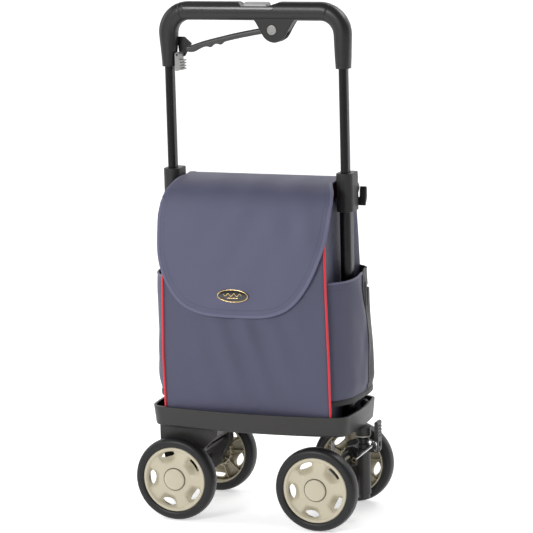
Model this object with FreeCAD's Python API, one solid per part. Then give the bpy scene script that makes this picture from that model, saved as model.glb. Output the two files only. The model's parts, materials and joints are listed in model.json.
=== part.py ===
"""Four-wheeled shopping trolley that is pushed from the side, in millimetres, +Z up.

X runs along the handle, which is the way the trolley rolls. The front is the +X end, with the pair of
wheels that swivels. The rear is the -X end. Near is -Y, the side with the bag's flap, and far is +Y.
The origin is on the floor, under the middle. Each function returns one piece, in its place.
"""
import FreeCAD, Part

import math
import os

V = FreeCAD.Vector

# Wheels
WHEEL_R = 75.0            # outside of the tyre
TYRE_DEPTH = 16.5         # tread to rim
TYRE_WIDTH = 30.0
RIM_WIDTH = 24.0
BARREL_WALL = 5.5         # ring under the tyre
WEB_FACE = 9.0            # the disc's outer face, from the wheel's middle plane
WEB_WALL = 6.0
WINDOW_COUNT = 5
WINDOW_AT_R = 42.0
HUB_R = 14.0
HUB_IN = 14.0             # the hub's inner end, from the middle plane
CAP_R = 20.0
CAP_WALL = 3.5
RATCHET_R = 29.0          # toothed ring that the brake pins drop into
RATCHET_WALL = 4.0
RATCHET_TEETH = 20
BUSH_WALL = 3.0
AXLE_R = 5.0
AXLE_PAST = 6.0           # axle end, from the wheel's middle plane
RUN_CLEAR = 0.05          # radial clearance of anything that turns on a shaft
WHEELBASE = 266.6
TRACK = 198.0

# Tray
TRAY_HALF_X = 183.0       # corner of the rim
TRAY_HALF_Y = 86.0
TRAY_BOW_X = 189.0        # middle of the bowed ends
TRAY_BOW_Y = 102.5        # middle of the bowed long sides
TRAY_TOP = 202.0
TRAY_HEIGHT = 36.0
TRAY_WALL = 4.0
TRAY_FLOOR = 4.0
KNOB_AT = (169.0, 62.0)
KNOB_R = 8.0
TRAY_DRAFT = 3.0          # the foot is this much smaller all round
CORNER_R = 24.0
BASE_PLATE_T = 2.0
BASE_PLATE_HALF = 30.0    # half width, along Y

# Swivelling front end
STEM_X = 186.0
STEM_BOSS_R = 14.0
STEM_BOSS_DROP = 14.0     # how far the boss hangs under the tray
KINGPIN_R = 6.0
KINGPIN_TOP = 164.0
WASHER_T = 2.0
FACE_GAP = 0.3            # between flat faces of pieces that move on each other
NECK_R = 9.0
TUBE_R = 12.5
TUBE_TOP = 127.0
TUBE_FOOT = 45.0
WEB_PLATE = 14.0
AXLE_BOSS_R = 14.0

# Brake pins, alike at both ends
PIN_ARM = 30.0            # shaft to pin
PIN_R = 3.0
PIN_REST = 4.8            # gap between pin and toothed ring when the brake is off
SHAFT_R = 4.0
SHAFT_OVER_PIN = 10.0     # the front shaft is this much higher than its pins
REAR_SHAFT_OVER_PIN = 2.0
HOUSING_HALF = 78.0       # half width of the rear housing, along Y
ARM_T = 3.0

# Foot pedal and its link
PEDAL_PIVOT = (212.0, 128.0)
PEDAL_TOP = 179.0
PEDAL_FACE = 217.5
PEDAL_HALF_Y = 10.0
LINK_TOP = (212.4, 141.0)
LINK_FOOT = (176.0, 110.0)
LINK_Y = -20.0
LINK_ROD_R = 2.2
LINK_EYE_R = 5.0
LINK_T = 4.0
LINK_PIN_R = 2.0
PEDAL_PIN_R = 3.0
LINK_SLACK = 0.6          # the lower eye is loose on its pin

# Posts
POST_X = 163.0
LOWER_A = 20.0            # along X
LOWER_B = 31.0            # along Y
LOWER_WALL = 1.8
LOWER_TOP = 592.0
UPPER_A = 14.5
UPPER_B = 23.0
UPPER_WALL = 1.5
SOCKET_H = 9.0            # the tray's sockets for the lower posts
SOCKET_RIM = 2.5
UPPER_FOOT = 430.0
SLIDE_CLEAR = 0.3
COLLAR_FOOT = 552.4
COLLAR_TOP = 620.4
COLLAR_A = 30.0
COLLAR_BACK = 26.0        # far face of the collar, from the post's middle
COLLAR_ROUND = 13.0       # its near corners
COLLAR_NEAR = 18.0        # near face of the collar, from the post's middle

# Lock levers at the back of the collars
LOCK_PIN_Z = 590.0
LOCK_PIN_Y = 33.0
LOCK_PIN_R = 2.5
LOCK_WIDTH = 17.0
LOCK_FOOT = 556.0
LOCK_WING = 16.0          # how far the wing stands out past the lever's side
EAR_T = 3.5

# Handle
GRIP_TOP = 917.0
GRIP_R = 16.5
GRIP_LEG_FOOT = 802.5
GRIP_BEND_R = 40.0        # centre line of the corners
GRIP_FOOT_HALF = 12.2     # the legs taper to this, along X
UPPER_IN_GRIP = 60.0
BUTTON_X = (-15.5, 27.0)
BUTTON_HALF_Y = 9.0
NOTCH_DEPTH = 8.0
BUTTON_TRAVEL = 3.0
LEVER_PIVOT = (37.0, 868.5)
LEVER_END = (-124.0, 836.0)
LEVER_T = 11.0
LEVER_WIDTH = 13.0
LUG_HALF_Y = 12.0
LUG_SHIFT = 3.5           # the lug's middle, past the lever's pivot
LUG_R = 24.0
RIVET_R = 8.7
RIVET_HEAD = 2.2
RIVET_SHANK_R = 4.0
LATCH_PIVOT = (-144.5, 823.0)
LATCH_BARREL_R = 4.0
LATCH_PIN_R = 2.0
LATCH_HALF_Y = 11.0

# Bag
BAG_FOOT = 172.4
BAG_MID = 420.0
BAG_NEAR_TOP = 548.0
BAG_FAR_TOP = 597.0
BAG_SIDE = (150.0, 148.0, 143.0)   # half width between the posts at the foot, BAG_MID and top
BAG_WALL = 2.0
BAG_FOOT_HALF = (156.0, 157.0)     # near and far edge, half width, at the foot
BAG_TOP_HALF = (151.0, 158.0)      # the same from BAG_MID up
BAG_NEAR = (80.0, 88.5, 83.0)      # near face at the foot, BAG_MID and top
BAG_FAR = (80.0, 82.0, 81.0)       # far face at the same heights
BOARD_T = 3.0

# Side pockets
POCKET_OUT = 187.5
POCKET_FOOT = 222.0
POCKET_TOP = 437.0
POCKET_WALL = 2.0
GUSSET_Y = 14.0           # where the blue panel ends and the black gusset starts
POST_ROOM = 1.5

# Flap
FLAP_T = 3.0
FLAP_HINGE = (80.0, 600.0)
FLAP_CROWN = 611.0
FLAP_NEAR = 93.0
FLAP_FOOT = 376.0
FLAP_NARROW = 143.0       # half width between the collars
FLAP_WIDE = 153.0
BADGE = (-16.0, 412.0)
BADGE_HALF = (29.5, 12.0)
BADGE_T = 2.0

# Zip on the black gusset
ZIP_Y = 22.0
ZIP_FOOT = 236.0
ZIP_TOP = 424.0
ZIP_SLIDER_Z = 415.0
ZIP_T = 1.2
SLIDER_T = 3.0

WHEEL_X = WHEELBASE / 2
WHEEL_Y = TRACK / 2
RIM_R = WHEEL_R - TYRE_DEPTH
TRAY_FOOT = TRAY_TOP - TRAY_HEIGHT
TRAY_INNER_FLOOR = TRAY_FOOT + TRAY_FLOOR
BORE_R = AXLE_R + RUN_CLEAR + BUSH_WALL
PIN_Z = WHEEL_R + RATCHET_R + PIN_R + PIN_REST
GRIP_Z = GRIP_TOP - GRIP_R


def box(x0, x1, y0, y1, z0, z1):
    """A block between two corners."""
    return Part.makeBox(x1 - x0, y1 - y0, z1 - z0, V(x0, y0, z0))


def rod(radius, start, end):
    """A round bar between two points."""
    run = V(*end) - V(*start)
    return Part.makeCylinder(radius, run.Length, V(*start), run)


def outline(points, radii, place):
    """A closed wire through the points, each corner rounded; place turns (u, v) into a vector."""
    if not hasattr(radii, "__len__"):
        radii = [radii] * len(points)
    count = len(points)
    corners = []
    for i in range(count):
        before, here, after = (V(*points[(i + k) % count], 0) for k in (-1, 0, 1))
        a, b = (before - here).normalize(), (after - here).normalize()
        half = a.getAngle(b) / 2
        if radii[i] == 0 or half > math.radians(89.5):
            corners.append((here, here, here))
            continue
        reach = radii[i] / math.tan(half)
        middle = (a + b).normalize()
        centre = here + middle * (radii[i] / math.sin(half))
        corners.append((here + a * reach, centre - middle * radii[i], here + b * reach))
    edges = []
    for i in range(count):
        first, mid, last = (place(p.x, p.y) for p in corners[i])
        nxt = corners[(i + 1) % count][0]
        nxt = place(nxt.x, nxt.y)
        if (last - first).Length > 1e-6:
            edges.append(Part.Arc(first, mid, last).toShape())
        if (nxt - last).Length > 1e-6:
            edges.append(Part.LineSegment(last, nxt).toShape())
    return Part.Wire(edges)


def prism(points, radii, place, along):
    """A solid with the rounded outline, carried along a vector."""
    return Part.Face(outline(points, radii, place)).extrude(V(*along))


def in_xy(z):
    return lambda u, v: V(u, v, z)


def in_xz(y):
    return lambda u, v: V(u, y, v)


def in_yz(x):
    return lambda u, v: V(x, u, v)


def stadium(cx, cy, z0, z1, a, b):
    """An upright bar with two half-round sides: a along X, b along Y."""
    r = a / 2
    middle = box(cx - r, cx + r, cy - b / 2 + r, cy + b / 2 - r, z0, z1)
    ends = [Part.makeCylinder(r, z1 - z0, V(cx, cy + side * (b / 2 - r), z0)) for side in (-1, 1)]
    return middle.fuse(ends).removeSplitter()


def turned(points):
    """A solid of revolution about the Y axis from (radius, y) points; three points in a tuple make an arc."""
    edges = []
    last = None
    first = None
    for item in points:
        if isinstance(item[0], tuple):
            a, b, c = (V(r, y, 0) for r, y in item)
            edges.append(Part.Arc(a, b, c).toShape())
            last = c
        else:
            here = V(item[0], item[1], 0)
            if last is not None and (here - last).Length > 1e-6:
                edges.append(Part.LineSegment(last, here).toShape())
            last = here
            first = first or here
    if (last - first).Length > 1e-6:
        edges.append(Part.LineSegment(last, first).toShape())
    return Part.Face(Part.Wire(edges)).revolve(V(0, 0, 0), V(0, 1, 0), 360)


def to_wheel(shape, x, side):
    """Puts a piece that was made round the Y axis, outside towards -Y, on a wheel's place."""
    shape = shape.copy()
    if side > 0:
        shape.rotate(V(0, 0, 0), V(0, 0, 1), 180)
    shape.translate(V(x, side * WHEEL_Y, WHEEL_R))
    return shape


# Wheels

def tyre():
    """Solid rubber tyre with a round tread."""
    half = TYRE_WIDTH / 2
    foot = RIM_WIDTH / 2
    shoulder = WHEEL_R - TYRE_DEPTH * 0.55
    return turned([(RIM_R, -foot), (shoulder, -half),
                   ((shoulder, -half), (WHEEL_R, 0), (shoulder, half)),
                   (RIM_R, foot)])


def rim():
    """Moulded rim: barrel, disc with five scooped windows, hub and the brake's toothed ring."""
    foot = RIM_WIDTH / 2
    inner = RIM_R - BARREL_WALL
    back = -WEB_FACE + WEB_WALL
    body = turned([(BORE_R, -AXLE_PAST - 1), (BORE_R, HUB_IN), (HUB_R, HUB_IN), (HUB_R, back),
                   (inner, back), (inner, foot), (RIM_R, foot), (RIM_R, -foot), (inner + 2, -foot),
                   (inner, -WEB_FACE), (0.001, -WEB_FACE), (0.001, -AXLE_PAST - 1)])
    ring = Part.makeCylinder(RATCHET_R, WEB_WALL + 5, V(0, back, 0), V(0, 1, 0)).cut(
        Part.makeCylinder(RATCHET_R - RATCHET_WALL, WEB_WALL + 5, V(0, back, 0), V(0, 1, 0)))
    notch = box(RATCHET_R - RATCHET_WALL / 2, RATCHET_R + 1, back, back + WEB_WALL + 5, -2.2, 2.2)
    scoop_r = 20.0
    scoop = Part.makeSphere(scoop_r, V(WINDOW_AT_R, -WEB_FACE - scoop_r * 0.6, 0))
    scoop = scoop.common(turned([(HUB_R + 8, -40), (inner, -40), (inner, 0), (HUB_R + 8, 0)]))
    notches = [turned_copy(notch, 360.0 / RATCHET_TEETH * i) for i in range(RATCHET_TEETH)]
    scoops = [turned_copy(scoop, 360.0 / WINDOW_COUNT * i + 18) for i in range(WINDOW_COUNT)]
    return body.fuse(ring.cut(notches)).cut(scoops)


def turned_copy(shape, angle):
    """A copy turned about the Y axis."""
    shape = shape.copy()
    shape.rotate(V(0, 0, 0), V(0, 1, 0), angle)
    return shape


def hub_cap():
    """Slightly domed cap over the hub."""
    face = -WEB_FACE
    dome = ((0.001, face - CAP_WALL), (CAP_R * 0.6, face - CAP_WALL * 0.93),
            (CAP_R - 1, face - CAP_WALL * 0.7))
    return turned([(0.001, face), (0.001, face - CAP_WALL), dome,
                   (CAP_R, face - CAP_WALL * 0.45), (CAP_R, face)])


def bush():
    """Plain bearing pressed into the hub."""
    return turned([(AXLE_R + RUN_CLEAR, -AXLE_PAST - 1), (BORE_R, -AXLE_PAST - 1), (BORE_R, HUB_IN),
                   (AXLE_R + RUN_CLEAR, HUB_IN)])


def axle(x):
    """Steel axle through both wheels of one end."""
    end = WHEEL_Y + AXLE_PAST
    return rod(AXLE_R, (x, -end, WHEEL_R), (x, end, WHEEL_R))


# Tray

def bowed_wire(grow, z):
    """The tray's outline: four gentle arcs that meet at the corners, grown or shrunk."""
    hx, hy = TRAY_HALF_X + grow, TRAY_HALF_Y + grow
    bx, by = TRAY_BOW_X + grow, TRAY_BOW_Y + grow
    corners = [(-hx, -hy), (hx, -hy), (hx, hy), (-hx, hy)]
    mids = [(0, -by), (bx, 0), (0, by), (-bx, 0)]
    return Part.Wire([Part.Arc(V(*corners[i], z), V(*mids[i], z), V(*corners[(i + 1) % 4], z)).toShape()
                      for i in range(4)])


def bowed_block(grow_foot, grow_top, z0, z1, corner_r):
    """A block with the tray's outline, tapered, with rounded upright corners."""
    block = Part.makeLoft([bowed_wire(grow_foot, z0), bowed_wire(grow_top, z1)], True, True)
    upright = [e for e in block.Edges if abs(e.Vertexes[0].Z - e.Vertexes[-1].Z) > 1]
    return block.makeFillet(corner_r, upright)


def base_tray():
    """Moulded tray with a raised rim, sockets for the posts and the boss that the front stem turns in."""
    body = bowed_block(-TRAY_DRAFT, 0, TRAY_FOOT, TRAY_TOP, CORNER_R)
    foot = [e for e in body.Edges if e.BoundBox.ZMax < TRAY_FOOT + 0.01]
    body = body.makeFillet(4.0, foot)
    body = body.cut(bowed_block(-TRAY_WALL - TRAY_DRAFT * 0.5, -TRAY_WALL, TRAY_INNER_FLOOR, TRAY_TOP + 1,
                                CORNER_R - TRAY_WALL))
    body = body.fuse(rod(STEM_BOSS_R, (STEM_X, 0, TRAY_FOOT - STEM_BOSS_DROP), (STEM_X, 0, TRAY_FOOT)))
    inner_x = STEM_X - STEM_BOSS_R
    root = rod(STEM_BOSS_R, (inner_x, 0, TRAY_FOOT - STEM_BOSS_DROP / 2),
               (inner_x, 0, TRAY_INNER_FLOOR - 0.5))
    body = body.fuse(root)
    for side in (-1, 1):
        body = body.fuse(stadium(side * POST_X, 0, TRAY_INNER_FLOOR, TRAY_INNER_FLOOR + SOCKET_H,
                                 LOWER_A + 2 * SOCKET_RIM, LOWER_B + 2 * SOCKET_RIM))
        body = body.cut(stadium(side * POST_X, 0, TRAY_INNER_FLOOR + BASE_PLATE_T, TRAY_TOP,
                                LOWER_A + SLIDE_CLEAR, LOWER_B + SLIDE_CLEAR))
    bore = rod(KINGPIN_R + RUN_CLEAR, (STEM_X, 0, TRAY_FOOT - 20), (STEM_X, 0, KINGPIN_TOP + FACE_GAP))
    return body.cut(bore).removeSplitter()


def base_plate():
    """Sheet steel under the bag that ties the two posts together."""
    end = POST_X - LOWER_A / 2 - 2 * SOCKET_RIM
    return box(-end, end, -BASE_PLATE_HALF, BASE_PLATE_HALF, TRAY_INNER_FLOOR,
               TRAY_INNER_FLOOR + BASE_PLATE_T)


def floor_knob():
    """Domed knob in the far corner of the tray that holds the bag's base down."""
    x, y = KNOB_AT
    top = TRAY_TOP - KNOB_R
    stud = rod(KNOB_R - 1.5, (x, y, TRAY_INNER_FLOOR), (x, y, top))
    ball = Part.makeSphere(KNOB_R, V(x, y, top - 1))
    return stud.fuse(ball.common(box(x - KNOB_R, x + KNOB_R, y - KNOB_R, y + KNOB_R, top - 3, TRAY_TOP + 5)))


# Rear end

def rear_housing():
    """Black moulding under the tray that carries the rear axle and the brake shaft."""
    x = -WHEEL_X
    shaft_x, shaft_z = x + PIN_ARM, PIN_Z + REAR_SHAFT_OVER_PIN
    points = [(x - 38, TRAY_FOOT), (x - 38, TRAY_FOOT - 26), (x - 23, WHEEL_R), (x + 23, WHEEL_R),
              (shaft_x + 10, shaft_z - 8), (shaft_x + 10, shaft_z + 8), (x + 72, TRAY_FOOT - 14),
              (x + 72, TRAY_FOOT)]
    half = HOUSING_HALF
    body = prism(points, [2, 8, 2, 2, 7, 7, 5, 2], in_xz(-half), (0, 2 * half, 0))
    body = body.fuse(rod(23.0, (x, -half, WHEEL_R), (x, half, WHEEL_R)))
    end = WHEEL_Y - HUB_IN - FACE_GAP
    body = body.fuse(rod(9.0, (x, -end, WHEEL_R), (x, end, WHEEL_R)))
    body = body.cut(box(x - 60, x + 90, -half + 24, half - 24, WHEEL_R - 40, TRAY_FOOT - 34))
    body = body.cut(rod(AXLE_R, (x, -200, WHEEL_R), (x, 200, WHEEL_R)))
    body = body.cut(rod(SHAFT_R + RUN_CLEAR, (shaft_x, -200, shaft_z), (shaft_x, 200, shaft_z)))
    return body.removeSplitter()


def pin_rocker(x, shaft_z, direction):
    """Brake shaft with an arm and a pin at each end; direction says which way the arms point along X."""
    shaft_x = x - direction * PIN_ARM
    reach = WHEEL_Y - TYRE_WIDTH / 2 - 1.5
    pieces = [rod(SHAFT_R, (shaft_x, -reach, shaft_z), (shaft_x, reach, shaft_z))]
    for side in (-1, 1):
        y0, y1 = sorted((side * (reach - ARM_T), side * reach))
        run = math.hypot(PIN_ARM, shaft_z - PIN_Z)
        nx, nz = (PIN_Z - shaft_z) / run * 6, direction * -PIN_ARM / run * 6
        corners = [(shaft_x + nx, shaft_z + nz), (x + nx, PIN_Z + nz), (x - nx, PIN_Z - nz),
                   (shaft_x - nx, shaft_z - nz)]
        pieces.append(prism(corners, 0, in_xz(y0), (0, y1 - y0, 0)))
        pieces.append(rod(6.0, (x, y0, PIN_Z), (x, y1, PIN_Z)))
        pieces.append(rod(7.0, (shaft_x, y0, shaft_z), (shaft_x, y1, shaft_z)))
        pieces.append(rod(PIN_R, (x, side * reach, PIN_Z), (x, side * (WHEEL_Y - 4), PIN_Z)))
    return pieces[0].fuse(pieces[1:]).removeSplitter()


# Front end

def front_fork():
    """Swivelling stem with a trailing arm to the front axle and lugs for the pedal and brake shaft."""
    washer_foot = TRAY_FOOT - STEM_BOSS_DROP - FACE_GAP - WASHER_T
    neck = rod(NECK_R, (STEM_X, 0, TUBE_TOP), (STEM_X, 0, washer_foot))
    rings = [rod(NECK_R + 2.5, (STEM_X, 0, z), (STEM_X, 0, z + 3)) for z in (TUBE_TOP + 6, TUBE_TOP + 16)]
    tube = rod(TUBE_R, (STEM_X, 0, TUBE_FOOT), (STEM_X, 0, TUBE_TOP))
    foot = rod(TUBE_R - 2, (STEM_X, 0, TUBE_FOOT - 8), (STEM_X, 0, TUBE_FOOT))
    half = WEB_PLATE / 2
    web = prism([(STEM_X, 50), (STEM_X, 97), (WHEEL_X, WHEEL_R + 12), (WHEEL_X - 13, WHEEL_R),
                 (WHEEL_X, WHEEL_R - 13)], [0, 0, 6, 6, 6], in_xz(-half), (0, WEB_PLATE, 0))
    end = WHEEL_Y - HUB_IN - FACE_GAP
    shaft_x, shaft_z = WHEEL_X + PIN_ARM, PIN_Z + SHAFT_OVER_PIN
    lug = prism([(STEM_X, shaft_z - 11), (STEM_X, shaft_z + 4), (shaft_x + 4, shaft_z + 9),
                 (shaft_x - 10, shaft_z + 5), (shaft_x - 9, shaft_z - 8)], [0, 0, 5, 5, 5], in_xz(-6),
                (0, 12, 0))
    px, pz = PEDAL_PIVOT
    pedal_lug = box(STEM_X, px, -4, 4, pz - 6, pz + 5).fuse(rod(6, (px, -4, pz), (px, 4, pz)))
    body = tube.fuse([neck, foot, web, lug, pedal_lug] + rings)
    body = body.fuse(rod(AXLE_BOSS_R, (WHEEL_X, -40, WHEEL_R), (WHEEL_X, 40, WHEEL_R)))
    body = body.fuse(rod(9.0, (WHEEL_X, -end, WHEEL_R), (WHEEL_X, end, WHEEL_R)))
    body = body.cut(rod(AXLE_R, (WHEEL_X, -200, WHEEL_R), (WHEEL_X, 200, WHEEL_R)))
    body = body.cut(rod(SHAFT_R + RUN_CLEAR, (shaft_x, -200, shaft_z), (shaft_x, 200, shaft_z)))
    body = body.cut(rod(PEDAL_PIN_R + RUN_CLEAR, (px, -20, pz), (px, 20, pz)))
    return body.cut(rod(KINGPIN_R, (STEM_X, 0, TUBE_TOP - 20), (STEM_X, 0, washer_foot + 1))).removeSplitter()


def kingpin():
    """Steel pin of the front end, which turns in the tray's boss."""
    return rod(KINGPIN_R, (STEM_X, 0, TUBE_TOP - 20), (STEM_X, 0, KINGPIN_TOP))


def swivel_washer():
    """Low-friction ring between the tray's boss and the stem."""
    top = TRAY_FOOT - STEM_BOSS_DROP - FACE_GAP
    ring = rod(STEM_BOSS_R - 1, (STEM_X, 0, top - WASHER_T), (STEM_X, 0, top))
    return ring.cut(rod(KINGPIN_R, (STEM_X, 0, top - 9), (STEM_X, 0, top + 9)))


def pedal():
    """Foot pedal: an upright arm with a ribbed pad, two cheeks at its pivot and an ear for the link."""
    px, pz = PEDAL_PIVOT
    pad_in = PEDAL_FACE - 7
    pad = prism([(pad_in, pz + 12), (PEDAL_FACE, pz + 14), (PEDAL_FACE, PEDAL_TOP), (pad_in, PEDAL_TOP)],
                [1.5, 1.5, 3, 3], in_xz(-PEDAL_HALF_Y), (0, 2 * PEDAL_HALF_Y, 0))
    grooves = [box(PEDAL_FACE - 1.2, PEDAL_FACE + 1, -PEDAL_HALF_Y - 1, PEDAL_HALF_Y + 1, z, z + 2)
               for z in (pz + 24, pz + 30, pz + 36, pz + 42)]
    body = pad.cut(grooves)
    for side in (-1, 1):
        y0, y1 = sorted((side * (4 + FACE_GAP), side * PEDAL_HALF_Y))
        cheek = prism([(px - 5, pz - 5), (px + 5, pz - 5), (PEDAL_FACE - 0.5, pz + 20), (pad_in, pz + 20)],
                      [4.5, 4.5, 0, 0], in_xz(y0), (0, y1 - y0, 0))
        body = body.fuse(cheek)
    ear_y = LINK_Y + LINK_T / 2 + FACE_GAP
    ear = prism([(px - 3, pz), (px + 4, pz), (LINK_TOP[0] + 4, LINK_TOP[1] + 4),
                 (LINK_TOP[0] - 4, LINK_TOP[1] + 4)], [2, 1, 1, 2], in_xz(ear_y),
                (0, -PEDAL_HALF_Y - ear_y + 1, 0))
    pin_in = LINK_Y - LINK_T / 2 - 1
    ear = ear.fuse(rod(LINK_PIN_R, (LINK_TOP[0], pin_in, LINK_TOP[1]), (LINK_TOP[0], ear_y, LINK_TOP[1])))
    body = body.fuse(ear)
    return body.cut(rod(PEDAL_PIN_R, (px, -20, pz), (px, 20, pz))).removeSplitter()


def pedal_pin():
    """Pin of the foot pedal, fast in the pedal's cheeks."""
    px, pz = PEDAL_PIVOT
    return rod(PEDAL_PIN_R, (px, -PEDAL_HALF_Y, pz), (px, PEDAL_HALF_Y, pz))


def link_rod():
    """Chromed rod with an eye at each end, from the pedal to the brake shaft's crank."""
    top = (LINK_TOP[0], LINK_Y, LINK_TOP[1])
    foot = (LINK_FOOT[0], LINK_Y, LINK_FOOT[1])
    body = rod(LINK_ROD_R, foot, top)
    half = LINK_T / 2
    for x, y, z in (top, foot):
        body = body.fuse(rod(LINK_EYE_R, (x, y - half, z), (x, y + half, z)))
    body = body.cut(rod(LINK_PIN_R + RUN_CLEAR, (top[0], -40, top[2]), (top[0], 0, top[2])))
    return body.cut(rod(LINK_PIN_R + LINK_SLACK, (foot[0], -40, foot[2]), (foot[0], 0, foot[2])))


def front_rocker():
    """Front brake shaft with its two pins and the crank that the link pulls."""
    shaft_x, shaft_z = WHEEL_X + PIN_ARM, PIN_Z + SHAFT_OVER_PIN
    body = pin_rocker(WHEEL_X, shaft_z, -1)
    y0 = LINK_Y + LINK_T / 2 + FACE_GAP
    foot_x, foot_z = LINK_FOOT
    crank = prism([(shaft_x - 5, shaft_z + 5), (shaft_x + 5, shaft_z + 5), (foot_x + 4, foot_z - 3),
                   (foot_x - 4, foot_z - 4)], [4, 4, 3.5, 3.5], in_xz(y0), (0, 5, 0))
    pin = rod(LINK_PIN_R, (foot_x, LINK_Y - LINK_T / 2 - 1, foot_z), (foot_x, y0 + 2, foot_z))
    return body.fuse([crank, pin]).removeSplitter()


def brake_spring():
    """Return spring of the front brake: a tight coil drawn as its outer tube."""
    return rod(3.2, (146, -34, 146), (136, -34, 128)).cut(rod(1.8, (147, -34, 148), (135, -34, 126)))


# Posts

def lower_tube(side):
    """Lower post: an upright oval tube that stands in the tray."""
    foot = TRAY_INNER_FLOOR + BASE_PLATE_T
    outer = stadium(side * POST_X, 0, foot, LOWER_TOP, LOWER_A, LOWER_B)
    return outer.cut(stadium(side * POST_X, 0, foot, LOWER_TOP, LOWER_A - 2 * LOWER_WALL,
                             LOWER_B - 2 * LOWER_WALL))


def upper_tube(side):
    """Upper post: a smaller oval tube that slides in the lower one and ends in the grip."""
    top = GRIP_LEG_FOOT + UPPER_IN_GRIP
    outer = stadium(side * POST_X, 0, UPPER_FOOT, top, UPPER_A, UPPER_B)
    return outer.cut(stadium(side * POST_X, 0, UPPER_FOOT, top, UPPER_A - 2 * UPPER_WALL,
                             UPPER_B - 2 * UPPER_WALL))


def collar(side):
    """Moulded collar over the top of the lower post, with a lobe at the back for the lock lever."""
    x = side * POST_X
    half = COLLAR_A / 2
    points = [(x - half, -COLLAR_NEAR), (x + half, -COLLAR_NEAR), (x + half, COLLAR_BACK),
              (x - half, COLLAR_BACK)]
    body = prism(points, [COLLAR_ROUND, COLLAR_ROUND, 5, 5], in_xy(COLLAR_FOOT),
                 (0, 0, COLLAR_TOP - COLLAR_FOOT))
    rims = [e for e in body.Edges
            if e.BoundBox.ZMin > COLLAR_TOP - 0.01 or e.BoundBox.ZMax < COLLAR_FOOT + 0.01]
    body = body.makeFillet(1.6, rims)
    y, z = LOCK_PIN_Y, LOCK_PIN_Z
    for dx in (-1, 1):
        ear_x = x + dx * (LOCK_WIDTH / 2 + FACE_GAP)
        ear = prism([(COLLAR_BACK - 1, z - 14), (y, z - 7), (y + 5, z), (y, z + 7),
                     (COLLAR_BACK - 1, z + 12)],
                    [0, 3, 3, 3, 0], in_yz(ear_x), (dx * EAR_T, 0, 0))
        body = body.fuse(ear)
    body = body.cut(stadium(x, 0, COLLAR_FOOT - 1, LOWER_TOP, LOWER_A, LOWER_B))
    body = body.cut(stadium(x, 0, LOWER_TOP - 1, COLLAR_TOP + 1, UPPER_A + 2 * SLIDE_CLEAR,
                            UPPER_B + 2 * SLIDE_CLEAR))
    return body.cut(rod(LOCK_PIN_R, (x - 30, y, z), (x + 30, y, z))).removeSplitter()


def lock_pins():
    """The two pins that the lock levers turn on."""
    half = LOCK_WIDTH / 2 + FACE_GAP + EAR_T
    return Part.makeCompound([rod(LOCK_PIN_R, (side * POST_X - half, LOCK_PIN_Y, LOCK_PIN_Z),
                                  (side * POST_X + half, LOCK_PIN_Y, LOCK_PIN_Z)) for side in (-1, 1)])


def lock_lever(side):
    """Flip lever that clamps the upper post; its wing hangs behind the collar, a little outwards."""
    x = side * POST_X
    half = LOCK_WIDTH / 2
    y, z = LOCK_PIN_Y, LOCK_PIN_Z
    back = COLLAR_BACK
    arm = [(y - 3, z + 5), (y - 5.5, z - 1), (back + 2, z - 12), (back + 3, LOCK_FOOT), (back + 8, LOCK_FOOT),
           (y + 9, z - 16), (y + 6, z + 5)]
    body = prism(arm, [2, 1.5, 2, 2, 2, 4, 4], in_yz(x - half), (LOCK_WIDTH, 0, 0))
    out = side * (half + LOCK_WING)
    root = prism([(back + 4.5, LOCK_FOOT + 2), (back + 8, LOCK_FOOT + 2), (y + 9, z - 18),
                  (back + 8.5, z - 18)], 1, in_yz(x), (out, 0, 0))
    clear = side * (half + EAR_T + 3 * FACE_GAP)
    wing = prism([(back + 4.5, LOCK_FOOT + 2), (back + 8, LOCK_FOOT + 2), (y + 9, z - 18), (y + 9, z - 3),
                  (y + 6, z + 2), (y + 3, z - 4), (back + 8.5, z - 18)], [1, 1, 1, 2, 1, 1, 1],
                 in_yz(x + clear), (out - clear, 0, 0))
    body = body.fuse([root, wing])
    return body.cut(rod(LOCK_PIN_R + RUN_CLEAR, (x - 30, y, z), (x + 30, y, z))).removeSplitter()


# Handle

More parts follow.
